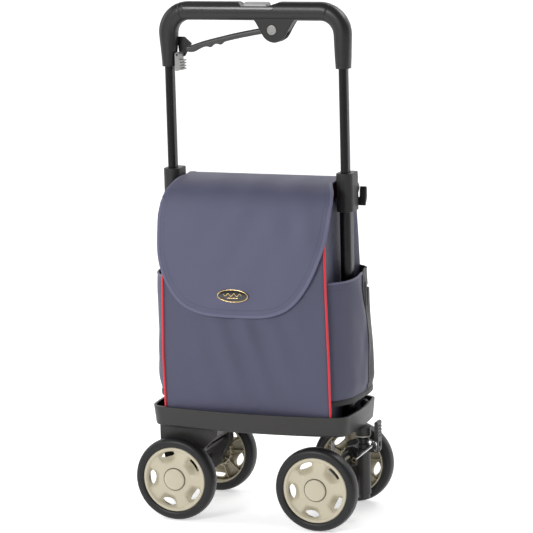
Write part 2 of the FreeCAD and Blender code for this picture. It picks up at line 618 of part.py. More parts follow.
def grip():
    """One moulded grip: the bar, two rounded corners, two tapered legs and the lug for the brake lever."""
    corner_z = GRIP_Z - GRIP_BEND_R
    bar_end = POST_X - GRIP_BEND_R
    body = rod(GRIP_R, (-bar_end, 0, GRIP_Z), (bar_end, 0, GRIP_Z))
    for side in (-1, 1):
        ring = Part.makeTorus(GRIP_BEND_R, GRIP_R, V(side * bar_end, 0, corner_z), V(0, 1, 0))
        x0, x1 = sorted((side * bar_end, side * (POST_X + 30)))
        quarter = ring.common(box(x0, x1, -GRIP_R - 1, GRIP_R + 1, corner_z, GRIP_TOP + 1))
        x = side * POST_X
        taper = prism([(x - GRIP_R, corner_z), (x + GRIP_R, corner_z), (x + GRIP_FOOT_HALF, GRIP_LEG_FOOT),
                       (x - GRIP_FOOT_HALF, GRIP_LEG_FOOT)], 0, in_xz(-GRIP_R), (0, 2 * GRIP_R, 0))
        leg = rod(GRIP_R, (x, 0, GRIP_LEG_FOOT), (x, 0, corner_z)).common(taper)
        body = body.fuse([quarter, leg])
    px, pz = LEVER_PIVOT
    lug_x = px + LUG_SHIFT
    lug = prism([(lug_x - 40, GRIP_Z - 8), (lug_x - LUG_R + 2, pz - 14), (lug_x, pz - LUG_R - 3),
                 (lug_x + LUG_R - 2, pz - 14), (lug_x + 40, GRIP_Z - 8)], [0, 12, 20, 12, 0],
                in_xz(-LUG_HALF_Y), (0, 2 * LUG_HALF_Y, 0))
    body = body.fuse(lug)
    half = LEVER_WIDTH / 2 + FACE_GAP
    slot = box(px - 70, px + 15, -half, half, pz - 40, pz + 14.5)
    body = body.cut(slot)
    body = body.cut(rod(RIVET_SHANK_R, (px, -40, pz), (px, 40, pz)))
    x0, x1 = BUTTON_X
    gap = 0.4
    foot = GRIP_TOP - NOTCH_DEPTH - BUTTON_TRAVEL - 1.5
    well = box(x0 - gap, x1 + gap, -BUTTON_HALF_Y - gap, BUTTON_HALF_Y + gap, foot, GRIP_TOP + 1)
    body = body.cut([well, button_notch()])
    for side in (-1, 1):
        body = body.cut(stadium(side * POST_X, 0, GRIP_LEG_FOOT - 1, GRIP_LEG_FOOT + UPPER_IN_GRIP,
                                UPPER_A, UPPER_B))
    return body.cut(inlay_block()).removeSplitter()


def button_notch():
    """The saddle cut across the top of the bar, which the button stands in."""
    x0, x1 = BUTTON_X
    low = GRIP_TOP - NOTCH_DEPTH
    return prism([(x0 - 12, GRIP_TOP + 1), (x0 - 2, low), (x1 + 2, low), (x1 + 24, GRIP_TOP + 1)], 0,
                 in_xz(-20), (0, 40, 0))


def inlay_block():
    """The space of the soft panel let into the bar's near side."""
    x0, x1 = -POST_X + GRIP_BEND_R + 2, BUTTON_X[1] + 18
    ends = (x0, 0, GRIP_Z), (x1, 0, GRIP_Z)
    ring = rod(GRIP_R + 0.5, *ends).cut(rod(GRIP_R - 2.5, *ends))
    return ring.common(box(x0, x1, -GRIP_R - 2, -BUTTON_HALF_Y - 2.0, GRIP_Z - 4, GRIP_TOP))


def grip_inlay():
    """Soft panel let into the grip, flush with the bar."""
    bar = rod(GRIP_R, (-POST_X, 0, GRIP_Z), (POST_X, 0, GRIP_Z))
    return inlay_block().common(bar).cut(button_notch())


def grip_button():
    """Push button in the top of the bar."""
    x0, x1 = BUTTON_X
    foot = GRIP_TOP - NOTCH_DEPTH - 1
    body = box(x0, x1, -BUTTON_HALF_Y, BUTTON_HALF_Y, foot, GRIP_TOP - 0.5)
    top = [e for e in body.Edges if e.BoundBox.ZMin > GRIP_TOP - 0.6]
    return body.makeFillet(1.2, top)


def brake_lever():
    """Hand lever under the bar, with finger bumps, hinged in the lug."""
    px, pz = LEVER_PIVOT
    ex, ez = LEVER_END
    t = LEVER_T / 2
    points = [(px + 9, pz + 8), (px - 12, pz + 8), (px - 60, pz - 4.5), (ex, ez + t), (ex - 12, ez - 1),
              (ex - 4, ez - t - 2), (ex + 14, ez - t + 1), (ex + 32, ez + 0.5), (ex + 36, ez - 3),
              (ex + 50, ez + 4), (ex + 54, ez + 1), (ex + 90, ez + 11.5), (px - 12, pz - 8), (px + 9, pz - 8)]
    body = prism(points, [8, 8, 20, 4, 3, 3, 8, 1.5, 1.5, 1.5, 1.5, 20, 8, 8], in_xz(-LEVER_WIDTH / 2),
                 (0, LEVER_WIDTH, 0))
    return body.cut(rod(RIVET_SHANK_R + RUN_CLEAR, (px, -20, pz), (px, 20, pz)))


def lever_rivet():
    """Rivet that the hand lever turns on, with a domed head on each side."""
    px, pz = LEVER_PIVOT
    body = rod(RIVET_SHANK_R, (px, -LUG_HALF_Y, pz), (px, LUG_HALF_Y, pz))
    for side in (-1, 1):
        crown = LUG_HALF_Y + RIVET_HEAD
        head = rod(RIVET_R, (px, side * LUG_HALF_Y, pz), (px, side * crown, pz))
        rim_edges = [e for e in head.Edges if abs(abs(e.BoundBox.YMin) - crown) < 0.01
                     and abs(e.BoundBox.YMax - e.BoundBox.YMin) < 0.01]
        body = body.fuse(head.makeFillet(1.2, rim_edges))
    return body.removeSplitter()


def latch_bracket():
    """Black plate at the foot of the rear leg that the parking latch turns on, with its pin."""
    px, pz = LATCH_PIVOT
    y0 = LATCH_HALF_Y + FACE_GAP
    plate = prism([(px - 4, pz - 5), (px + 6, pz - 5), (px + 12, pz + 6), (px + 20, pz + 18),
                   (px + 6, pz + 30), (px - 8, pz + 30)], [4, 4, 3, 3, 2, 0], in_xz(y0), (0, 3.0, 0))
    pin = rod(LATCH_PIN_R, (px, -LATCH_HALF_Y - 1, pz), (px, y0 + 1, pz))
    leg = rod(GRIP_R, (-POST_X, 0, GRIP_LEG_FOOT - 10), (-POST_X, 0, GRIP_Z))
    return plate.cut(leg).fuse(pin)


def parking_latch():
    """Bright catch with a ribbed finger pad that holds the hand lever for parking."""
    px, pz = LATCH_PIVOT
    half = LATCH_HALF_Y
    body = rod(LATCH_BARREL_R, (px, -half, pz), (px, half, pz))
    body = body.fuse(prism([(px - 4, pz), (px + 4, pz), (px + 3, pz - 28), (px - 4, pz - 29)], [0, 0, 2, 2],
                           in_xz(-half), (0, 2 * half, 0)))
    ribs = [box(px + 2, px + 9, -half, half, z, z + 2.6) for z in (pz - 27, pz - 22, pz - 17, pz - 12)]
    body = body.fuse(ribs + [box(px + 2, px + 5.5, -half, half, pz - 27, pz - 10)])
    return body.cut(rod(LATCH_PIN_R + RUN_CLEAR, (px, -40, pz), (px, 40, pz))).removeSplitter()


# Bag

def bag_section(level, z, inset):
    """One outline of the bag, drawn in at the posts; level 0 is the foot, 1 is BAG_MID, 2 the top."""
    near_half, far_half = BAG_FOOT_HALF if level == 0 else BAG_TOP_HALF
    side = BAG_SIDE[level] - inset
    flat = COLLAR_BACK
    half = [(near_half - inset, -BAG_NEAR[level] + inset), (side, -flat), (side, flat),
            (far_half - inset, BAG_FAR[level] - inset)]
    points = [V(x, y, z) for x, y in half + [(-x, y) for x, y in reversed(half)]]
    return Part.makePolygon(points + points[:1])


def bag_block(inset, foot, top):
    """The bag's outline carried from foot to top in two straight runs."""
    wires = [bag_section(level, z, inset) for level, z in enumerate((foot, BAG_MID, top))]
    lower = Part.makeLoft(wires[:2], True, True)
    return lower.fuse(Part.makeLoft(wires[1:], True, True))


def bag_body():
    """Fabric bag: a closed floor, four walls and an open top that slopes down towards the near side."""
    body = bag_block(0, BAG_FOOT, BAG_FAR_TOP + 1)
    body = body.cut(bag_block(BAG_WALL, BAG_FOOT + BAG_WALL, BAG_FAR_TOP + 2))
    near, far = BAG_NEAR[2] + 10, BAG_FAR[2] + 10
    drop = (BAG_FAR_TOP - BAG_NEAR_TOP) * 10 / (BAG_NEAR[2] + BAG_FAR[2])
    slope = prism([(-near, BAG_NEAR_TOP - drop), (far, BAG_FAR_TOP + drop), (far, 700), (-near, 700)], 0,
                  in_yz(-200), (400, 0, 0))
    return body.cut(slope)


def bag_board():
    """Stiff board that lies on the bag's floor."""
    x, y = BAG_SIDE[0] - 8, BAG_NEAR[0] - 8
    z = BAG_FOOT + BAG_WALL
    return prism([(-x, -y), (x, -y), (x, y), (-x, y)], 10, in_xy(z), (0, 0, BOARD_T))


def pocket_block(side, inset, z0, z1):
    """The outline of a side pocket, from the bag's near edge round the post to its far edge."""
    out = POCKET_OUT - inset
    pts = [(BAG_TOP_HALF[0] - 1, -BAG_NEAR[0] + 2 + inset), (out - 14, -58 + inset), (out, -30), (out, 30),
           (out - 3, 64 - inset), (out - 15, BAG_FAR[0] - 1 - inset),
           (BAG_SIDE[2] - 20, BAG_FAR[0] - 1 - inset), (BAG_SIDE[2] - 20, -BAG_NEAR[0] + 2 + inset)]
    return prism([(side * x, y) for x, y in pts], [0, 20, 20, 20, 8, 6, 0, 0], in_xy(z0), (0, 0, z1 - z0))


def pocket_shell(side):
    """Open-topped pocket round the post, with a floor that the post passes through."""
    body = pocket_block(side, 0, POCKET_FOOT, POCKET_TOP)
    body = body.cut(pocket_block(side, POCKET_WALL, POCKET_FOOT + POCKET_WALL, POCKET_TOP + 1))
    body = body.cut(bag_block(-0.2, BAG_FOOT, BAG_FAR_TOP))
    return body.cut(stadium(side * POST_X, 0, POCKET_FOOT - 1, POCKET_TOP, LOWER_A + 2 * POST_ROOM,
                            LOWER_B + 2 * POST_ROOM))


def side_pocket(side):
    """The blue panel of a pocket."""
    return pocket_shell(side).cut(box(-250, 250, GUSSET_Y, 120, POCKET_FOOT - 5, POCKET_TOP + 5))


def pocket_gusset(side):
    """The black strip that closes a pocket towards the far side."""
    return pocket_shell(side).cut(box(-250, 250, -120, GUSSET_Y, POCKET_FOOT - 5, POCKET_TOP + 5))


def zip_line_x():
    """Outside face of the gusset at the zip."""
    return POCKET_OUT + 0.1


def zip_chain():
    """Closed zip on the front gusset, as a thin strip."""
    x = zip_line_x()
    return box(x, x + ZIP_T, ZIP_Y - 3, ZIP_Y + 3, ZIP_FOOT, ZIP_TOP)


def zip_slider():
    """Slider that rides on the zip."""
    x = zip_line_x() + ZIP_T + FACE_GAP
    body = box(x, x + SLIDER_T, ZIP_Y - 4, ZIP_Y + 4, ZIP_SLIDER_Z - 7, ZIP_SLIDER_Z + 5)
    return body.makeFillet(1.2, [e for e in body.Edges if abs(e.Vertexes[0].X - e.Vertexes[-1].X) > 1])


def zip_pull():
    """Hanging pull of the zip, a tongue with a hole."""
    x = zip_line_x() + ZIP_T + FACE_GAP + SLIDER_T + FACE_GAP
    z = ZIP_SLIDER_Z
    body = prism([(ZIP_Y - 3, z), (ZIP_Y + 3, z), (ZIP_Y + 4.5, z - 34), (ZIP_Y - 4.5, z - 34)],
                 [2.5, 2.5, 4, 4], in_yz(x), (1.8, 0, 0))
    return body.cut(rod(1.2, (x - 1, ZIP_Y, z - 29), (x + 4, ZIP_Y, z - 29)))


# Flap

def flap():
    """Cover of the bag: level from its hinge edge, round over the near edge and down the near side."""
    hy, hz = FLAP_HINGE
    n, c = FLAP_NEAR, FLAP_CROWN
    inner = [V(0, hy, hz), V(0, hy - 70, c - FLAP_T), V(0, -52, c - FLAP_T - 5), V(0, -82, 572),
             V(0, -n + FLAP_T, 520), V(0, -n + FLAP_T, FLAP_FOOT)]
    upper = [V(0, hy, hz + FLAP_T), V(0, hy - 70, c), V(0, -53.5, c - 5 + 0.2), V(0, -84.8, 573.5),
             V(0, -n, 520.5), V(0, -n, FLAP_FOOT)]
    edges = []
    for row in (inner, upper):
        edges.append(Part.Arc(row[0], row[1], row[2]).toShape())
        edges.append(Part.Arc(row[2], row[3], row[4]).toShape())
        edges.append(Part.LineSegment(row[4], row[5]).toShape())
    edges.append(Part.LineSegment(inner[0], upper[0]).toShape())
    edges.append(Part.LineSegment(inner[5], upper[5]).toShape())
    face = Part.Face(Part.Wire(Part.__sortEdges__(edges)))
    band = face.extrude(V(2 * FLAP_WIDE, 0, 0))
    band.translate(V(-FLAP_WIDE, 0, 0))
    half = [(FLAP_WIDE, 640), (FLAP_WIDE, 490), (118, FLAP_FOOT + 16), (60, FLAP_FOOT)]
    tongue = prism([(-x, z) for x, z in half] + half[::-1], [0, 30, 25, 30, 30, 25, 30, 0],
                   in_xz(-130), (0, 230, 0))
    body = band.common(tongue)
    for side in (-1, 1):
        x0, x1 = sorted((side * FLAP_NARROW, side * (FLAP_WIDE + 5)))
        body = body.cut(box(x0, x1, -46, 120, 560, 640))
    return body


def badge():
    """Plain oval badge on the flap."""
    x, z = BADGE
    a, b = BADGE_HALF
    y = -FLAP_NEAR
    ring = Part.Ellipse(V(x, y, z), a, b).toShape()
    ring.rotate(V(x, y, z), V(1, 0, 0), 90)
    return Part.Face(Part.Wire(ring)).extrude(V(0, -BADGE_T, 0))


def build():
    """Every piece under its own name."""
    pieces = {
        "base_tray": base_tray(), "base_plate": base_plate(), "floor_knob": floor_knob(),
        "rear_housing": rear_housing(), "rear_axle": axle(-WHEEL_X),
        "rear_brake_rocker": pin_rocker(-WHEEL_X, PIN_Z + REAR_SHAFT_OVER_PIN, -1),
        "front_fork": front_fork(), "front_axle": axle(WHEEL_X), "kingpin": kingpin(),
        "swivel_washer": swivel_washer(), "brake_pedal": pedal(), "pedal_pin": pedal_pin(),
        "link_rod": link_rod(), "front_brake_rocker": front_rocker(), "brake_spring": brake_spring(),
        "lock_pins": lock_pins(), "grip": grip(), "grip_inlay": grip_inlay(), "grip_button": grip_button(),
        "brake_lever": brake_lever(), "lever_rivet": lever_rivet(), "latch_bracket": latch_bracket(),
        "parking_latch": parking_latch(), "bag_body": bag_body(), "bag_board": bag_board(),
        "zip_chain": zip_chain(), "zip_slider": zip_slider(), "zip_pull": zip_pull(),
        "flap": flap(), "badge": badge(),
    }
    for name, side in (("rear", -1), ("front", 1)):
        pieces["lower_tube_" + name] = lower_tube(side)
        pieces["upper_tube_" + name] = upper_tube(side)
        pieces["collar_" + name] = collar(side)
        pieces["lock_lever_" + name] = lock_lever(side)
        pieces["side_pocket_" + name] = side_pocket(side)
        pieces["pocket_gusset_" + name] = pocket_gusset(side)
    wheel = {"tyre": tyre(), "rim": rim(), "hub_cap": hub_cap(), "bush": bush()}
    for name, x, side in (("rear_near", -WHEEL_X, -1), ("rear_far", -WHEEL_X, 1),
                          ("front_near", WHEEL_X, -1), ("front_far", WHEEL_X, 1)):
        for piece, shape in wheel.items():
            pieces[piece + "_" + name] = to_wheel(shape, x, side)
    return pieces


def main():
    os.makedirs("parts", exist_ok=True)
    for name, shape in build().items():
        if shape.isNull() or not shape.isValid() or not shape.Solids:
            raise RuntimeError(name + " is not a valid solid")
        shape.exportStep("parts/" + name + ".step")


main()
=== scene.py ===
import json
import math
from functools import partial

import bpy
import numpy as np
from mathutils import Matrix, Vector

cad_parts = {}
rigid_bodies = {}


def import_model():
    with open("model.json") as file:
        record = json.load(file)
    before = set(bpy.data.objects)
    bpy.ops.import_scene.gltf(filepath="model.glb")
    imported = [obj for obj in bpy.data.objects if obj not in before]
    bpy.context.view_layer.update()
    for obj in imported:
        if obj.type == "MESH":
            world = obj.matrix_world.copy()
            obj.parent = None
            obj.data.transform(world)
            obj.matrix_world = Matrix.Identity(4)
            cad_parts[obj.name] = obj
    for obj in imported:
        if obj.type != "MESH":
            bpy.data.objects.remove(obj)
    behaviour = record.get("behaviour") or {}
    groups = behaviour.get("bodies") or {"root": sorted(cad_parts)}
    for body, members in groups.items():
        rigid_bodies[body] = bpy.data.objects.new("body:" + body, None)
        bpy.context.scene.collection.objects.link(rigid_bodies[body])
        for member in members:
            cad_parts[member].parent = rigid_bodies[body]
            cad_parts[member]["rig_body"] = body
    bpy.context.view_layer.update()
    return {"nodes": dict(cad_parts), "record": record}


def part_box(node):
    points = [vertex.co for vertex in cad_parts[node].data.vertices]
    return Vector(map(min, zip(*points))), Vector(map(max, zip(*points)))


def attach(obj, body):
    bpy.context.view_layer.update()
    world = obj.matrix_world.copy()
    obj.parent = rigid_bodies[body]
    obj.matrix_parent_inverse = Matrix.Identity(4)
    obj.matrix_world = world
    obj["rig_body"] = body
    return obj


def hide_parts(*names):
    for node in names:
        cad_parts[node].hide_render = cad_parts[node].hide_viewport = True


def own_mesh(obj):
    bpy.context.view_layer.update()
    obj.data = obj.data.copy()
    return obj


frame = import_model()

RECORD = frame["record"]
MM = 0.001

bl_info = {
    "name": "Shopping trolley",
    "version": (1, 0, 0),
    "blender": (4, 5, 0),
    "location": "3D View > Sidebar > Trolley",
    "description": "Makes the fabric, wheels, grip and finishes of a shopping trolley round its CAD frame",
    "category": "Object",
}


# ---------------------------------------------------------------- sizes read from the frame

def middle(node):
    """Centre of a CAD node's box."""
    low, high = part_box(node)
    return (low + high) / 2


def span(node):
    """Size of a CAD node's box."""
    low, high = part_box(node)
    return high - low


WHEELS = ("rear_near", "rear_far", "front_near", "front_far")
ENDS = (("rear", -1), ("front", 1))
WHEEL_R = span("tyre_front_near").x / 2
TYRE_HALF = span("tyre_front_near").y / 2
RIM_R = span("rim_front_near").x / 2
POST_X = middle("lower_tube_front").x
GRIP_LOW, GRIP_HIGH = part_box("grip")
BAR_R = 0.0165                  # half height of the grip's bar
BAR_Z = GRIP_HIGH.z - BAR_R


# ---------------------------------------------------------------- settings

def settings(name, doc, kind, rows, **shared):
    """A property group; each row is key, label, description and default."""
    fields = {key: kind(name=label, description=text, default=value, **shared)
              for key, label, text, value in rows}
    return type(name, (bpy.types.PropertyGroup,), {"__doc__": doc, "__annotations__": fields})


TrolleySizes = settings("TrolleySizes", "Sizes that a maker would change.", bpy.props.FloatProperty, (
    ("piping", "Piping", "Radius of the red piping", 0.0021),
    ("binding", "Binding", "Half width of the tape round the flap", 0.0031),
    ("cloth", "Cloth", "Thickness of the bag's fabric", 0.0012),
    ("wrinkle", "Wrinkle", "Height of the creases in the fabric", 0.0014),
    ("thread", "Thread", "Width of one thread of the weave", 0.00055),
    ("window", "Window", "Half height of a window in the rim", 0.0048)), unit="LENGTH")

TrolleyColours = settings("TrolleyColours", "Colours of the trolley.", bpy.props.FloatVectorProperty, (
    ("bag", "Bag", "Fabric of the bag and pockets", (0.068, 0.069, 0.116)),
    ("flap", "Flap", "Fabric of the flap", (0.084, 0.086, 0.142)),
    ("piping", "Piping", "Red piping at the bag's edges", (0.62, 0.025, 0.04)),
    ("lining", "Lining", "Cloth inside the bag and under the flap", (0.16, 0.012, 0.02)),
    ("rim", "Rim", "Moulded rims and hub caps", (0.50, 0.455, 0.34)),
    ("plastic", "Plastic", "Black mouldings", (0.030, 0.029, 0.028)),
    ("gold", "Gold", "Line work of the badge", (0.72, 0.52, 0.24))), subtype="COLOR")


# ---------------------------------------------------------------- numpy shapes

def smooth(low, high, value):
    """Smoothstep: 0 below low, 1 above high, with a gentle S between."""
    t = np.clip((value - low) / (high - low), 0, 1)
    return t * t * (3 - 2 * t)


def unit(v):
    """Vectors scaled to length 1 along the last axis."""
    return v / np.maximum(np.linalg.norm(v, axis=-1, keepdims=True), 1e-12)


def quads(rows, cols, wrap_rows=False, wrap_cols=False):
    """Faces of a grid whose points are counted along each row first."""
    r = np.arange(rows if wrap_rows else rows - 1)[:, None]
    c = np.arange(cols if wrap_cols else cols - 1)[None, :]
    up, right = (r + 1) % rows, (c + 1) % cols
    return np.stack([r * cols + c, r * cols + right, up * cols + right, up * cols + c], -1).reshape(-1, 4)


def curve(points, count):
    """A smooth line through a few points: Catmull-Rom spans, sampled and then spaced evenly by length."""
    p = np.asarray(points, float)
    p = np.concatenate([2 * p[:1] - p[1:2], p, 2 * p[-1:] - p[-2:-1]])
    t = np.linspace(0, 1, 24, endpoint=False)[None, :, None]
    a, b, c, d = p[:-3, None], p[1:-2, None], p[2:-1, None], p[3:, None]
    line = 0.5 * (2 * b + (c - a) * t + (2 * a - 5 * b + 4 * c - d) * t ** 2
                  + (3 * b - a - 3 * c + d) * t ** 3)
    line = np.concatenate([line.reshape(-1, p.shape[1]), p[-2:-1]])
    return resample(line, count)


def resample(line, count):
    """The same line with count points, evenly spaced by length."""
    run = np.concatenate([[0], np.cumsum(np.linalg.norm(np.diff(line, axis=0), axis=1))])
    at = np.linspace(0, run[-1], count)
    return np.stack([np.interp(at, run, line[:, k]) for k in range(line.shape[1])], -1)


def lengths(line):
    """Distance along a line at each of its points."""
    return np.concatenate([[0], np.cumsum(np.linalg.norm(np.diff(line, axis=0), axis=1))])


def oval(count, a, b, power=2.0):
    """A superellipse with half axes a and b: power 2 is an ellipse, more is squarer."""
    t = np.linspace(0, 2 * math.pi, count, endpoint=False)
    c, s = np.cos(t), np.sin(t)
    return np.stack([a * np.sign(c) * np.abs(c) ** (2 / power),
                     b * np.sign(s) * np.abs(s) ** (2 / power)], -1)


def sweep(path, side, lift, section):
    """A section carried along a path: each section point is path + u * side + v * lift.

    section is (points, 2), or (path points, points, 2) where its size changes on the way.
    """
    section = np.broadcast_to(section, (len(path),) + section.shape[-2:])
    return path[:, None] + section[..., :1] * side[:, None] + section[..., 1:] * lift[:, None]


def running_mean(values, width):
    """Moving average of a row of values over an odd number of them."""
    return np.convolve(np.pad(values, width // 2, mode="edge"), np.ones(width) / width, "valid")


def frame_along(path, up):
    """Tangent, side and lift of a path, with lift as near to up as it goes."""
    tangent = unit(np.gradient(path, axis=0))
    side = unit(np.cross(tangent, np.broadcast_to(up, tangent.shape)))
    return tangent, side, np.cross(side, tangent)


def lathe(profile, turns=160):
    """A profile of (radius, y) turned about the Y axis: x = r cos t, z = r sin t."""
    t = np.linspace(0, 2 * math.pi, turns, endpoint=False)
    r, y = np.asarray(profile, float).T
    return np.stack([r[:, None] * np.cos(t), np.broadcast_to(y[:, None], (len(r), turns)),
                     r[:, None] * np.sin(t)], -1)


class Build:
    """Collects grids into one mesh; each grid is (points, faces, uvs)."""

    def __init__(self):
        self.points, self.faces, self.caps, self.uvs, self.count = [], [], [], [], 0

    def grid(self, points, wrap_rows=False, wrap_cols=False, caps=False, inside=None, uv=None):
        """Adds a grid with its faces turned outwards: away from inside, or by the sign of its volume."""
        rows, cols = points.shape[:2]
        flat = points.reshape(-1, 3)
        faces = quads(rows, cols, wrap_rows, wrap_cols)
        ends = [np.arange(cols)[::-1], np.arange(cols) + (rows - 1) * cols]
        ends = {False: [], True: ends, "first": ends[:1], "last": ends[1:]}[caps]
        a, b, c, d = (flat[faces[:, k]] for k in range(4))
        normal = np.cross(c - a, d - b)
        origin = flat.mean(0) if inside is None else np.asarray(inside, float)
        if (normal * ((a + b + c + d) / 4 - origin)).sum() < 0:
            faces, ends = faces[:, ::-1], [end[::-1] for end in ends]
        self.points.append(flat)
        self.faces.append(faces + self.count)
        self.caps += [end + self.count for end in ends]
        self.uvs.append(np.zeros((len(flat), 2)) if uv is None else uv.reshape(-1, 2))
        self.count += len(flat)
        return self

    def finish(self, name, sharp=None, uv_name="thread", extra_uv=None, weld=0.0):
        """Makes the Blender object, with smooth faces and sharp edges past an angle."""
        points, faces = np.concatenate(self.points), np.concatenate(self.faces)
        uvs = {uv_name: np.concatenate(self.uvs)}
        uvs.update(extra_uv or {})
        if weld:
            keys = np.round(points / weld).astype(np.int64)
            _, first, back = np.unique(keys, axis=0, return_index=True, return_inverse=True)
            back = back.reshape(-1)
            points, faces = points[first], back[faces]
            self.caps = [back[cap] for cap in self.caps]
            uvs = {key: uv[first] for key, uv in uvs.items()}
        flat = np.concatenate([faces.reshape(-1)] + self.caps)
        sizes = np.array([4] * len(faces) + [len(cap) for cap in self.caps])
        mesh = bpy.data.meshes.new(name)
        mesh.vertices.add(len(points))
        mesh.vertices.foreach_set("co", points.astype(np.float32).ravel())
        mesh.loops.add(len(flat))
        mesh.loops.foreach_set("vertex_index", flat.astype(np.int32))
        mesh.polygons.add(len(sizes))
        mesh.polygons.foreach_set("loop_start", np.concatenate([[0], np.cumsum(sizes)[:-1]]).astype(np.int32))
        mesh.polygons.foreach_set("use_smooth", np.ones(len(sizes), bool))
        for key, uv in uvs.items():
            mesh.uv_layers.new(name=key).uv.foreach_set("vector", uv[flat].astype(np.float32).ravel())
        mesh.update(calc_edges=True)
        mesh.validate()
        if sharp:
            mesh.set_sharp_from_angle(angle=math.radians(sharp))
        piece = bpy.data.objects.new(name, mesh)
        bpy.context.scene.collection.objects.link(piece)
        return piece


def add(name, points, body, slot, material, *nodes, sharp=None, **how):
    """Makes and places a piece of one grid; how goes to Build.grid."""
    piece = Build().grid(points, **how).finish(name, sharp=sharp)
    return place(piece, body, slot, MADE[material], *nodes)


TUBE = {"wrap_cols": True, "caps": True}
LOOP = {"wrap_rows": True, "wrap_cols": True}


def place(piece, body, slot, materials, *nodes):
    """Puts a piece on its body, with its materials, and hides the CAD nodes that it stands for."""
    for material in materials if isinstance(materials, (list, tuple)) else [materials]:
        piece.data.materials.append(material)
    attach(piece, body)
    if nodes:
        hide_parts(*nodes)
    return piece


def thicken(piece, wall, lining=False):
    """Gives a sheet its thickness inwards; the inner face and rim may take the second material."""
    solid = piece.modifiers.new("wall", "SOLIDIFY")
    solid.thickness = wall
    solid.offset = -1
    solid.use_even_offset = True
    if lining:
        solid.material_offset = 1
    return piece


def bake(piece):
    """Applies a piece's modifiers to its mesh."""
    depsgraph = bpy.context.evaluated_depsgraph_get()
    done = bpy.data.meshes.new_from_object(piece.evaluated_get(depsgraph))
    old = piece.data
    piece.modifiers.clear()
    done.name = old.name
    piece.data = done
    bpy.data.meshes.remove(old)
    return piece


# ---------------------------------------------------------------- shader groups

def socket(tree, name, kind, way, default=None):
    item = tree.interface.new_socket(name=name, in_out=way, socket_type="NodeSocket" + kind)
    if default is not None:
        item.default_value = default
    return item


def node(tree, kind, links=None, **settings):
    """A shader node: settings with a capital or a number are inputs, the rest are its properties."""
    made = tree.nodes.new("ShaderNode" + kind)
    for key, value in settings.items():
        setattr(made, key, value)
    for key, value in (links or {}).items():
        target = made.inputs[key]
        if isinstance(value, bpy.types.NodeSocket):
            tree.links.new(value, target)
        else:
            target.default_value = value
    return made


def ramp(tree, value, *ends):
    """A Map Range node: from low and high, then to low and high."""
    keys = ("From Min", "From Max", "To Min", "To Max")
    return node(tree, "MapRange", {"Value": value, **dict(zip(keys, ends))}).outputs[0]


def noise(tree, where, scale, detail, **more):
    """A noise texture's value."""
    links = {"Vector": where, "Scale": scale, "Detail": detail, **more}
    return node(tree, "TexNoise", links).outputs["Fac"]


def maths(tree, operation, *values):
    """A Math node; each value is a number or a socket."""
    return node(tree, "Math", dict(enumerate(values)), operation=operation).outputs[0]


def arithmetic(tree):
    """Add, subtract, multiply and divide, as functions that make Math nodes in a tree."""
    return [partial(maths, tree, name) for name in ("ADD", "SUBTRACT", "MULTIPLY", "DIVIDE")]


def mix_colour(tree, factor, first, second):
    """A colour mix of two colours by a factor."""
    made = node(tree, "Mix", {0: factor, 6: first, 7: second}, data_type="RGBA")
    return made.outputs[2]


def group(name, inputs, outputs):
    """An empty node group with its sockets; gives the tree, its input node and its output node."""
    tree = bpy.data.node_groups.new(name, "ShaderNodeTree")
    for key, kind, default in inputs:
        socket(tree, key, kind, "INPUT", default)
    for key, kind in outputs:
        socket(tree, key, kind, "OUTPUT")
    return tree, tree.nodes.new("NodeGroupInput"), tree.nodes.new("NodeGroupOutput")


def moulded_group():
    """Fine moulded grain: a small noise for height, a slow one that shifts colour and gloss a little."""
    tree, given, out = group("moulded_grain", [
        ("Colour", "Color", (0.05, 0.05, 0.05, 1)), ("Roughness", "Float", 0.5), ("Grain", "Float", 900.0),
        ("Depth", "Float", 0.1), ("Mottle", "Float", 0.1)],
        [("Colour", "Color"), ("Roughness", "Float"), ("Normal", "Vector")])
    plus, minus, times, _ = arithmetic(tree)
    where = node(tree, "TexCoord").outputs["Object"]
    fine = noise(tree, where, given.outputs["Grain"], 2.0)
    slow = noise(tree, where, 38.0, 4.0)
    scuff = noise(tree, where, 210.0, 5.0, Roughness=0.7)
    shift = times(minus(slow, 0.5), given.outputs["Mottle"])
    bright = plus(shift, 1.0)
    tinted = node(tree, "VectorMath", {0: given.outputs["Colour"]}, operation="SCALE")
    tree.links.new(bright, tinted.inputs["Scale"])
    tree.links.new(tinted.outputs[0], out.inputs["Colour"])
    rough = plus(given.outputs["Roughness"],
                  times(minus(scuff, 0.5), 0.22))
    tree.links.new(rough, out.inputs["Roughness"])
    bump = node(tree, "Bump", {"Height": fine, "Strength": given.outputs["Depth"], "Distance": 0.0003})
    tree.links.new(bump.outputs[0], out.inputs["Normal"])
    return tree


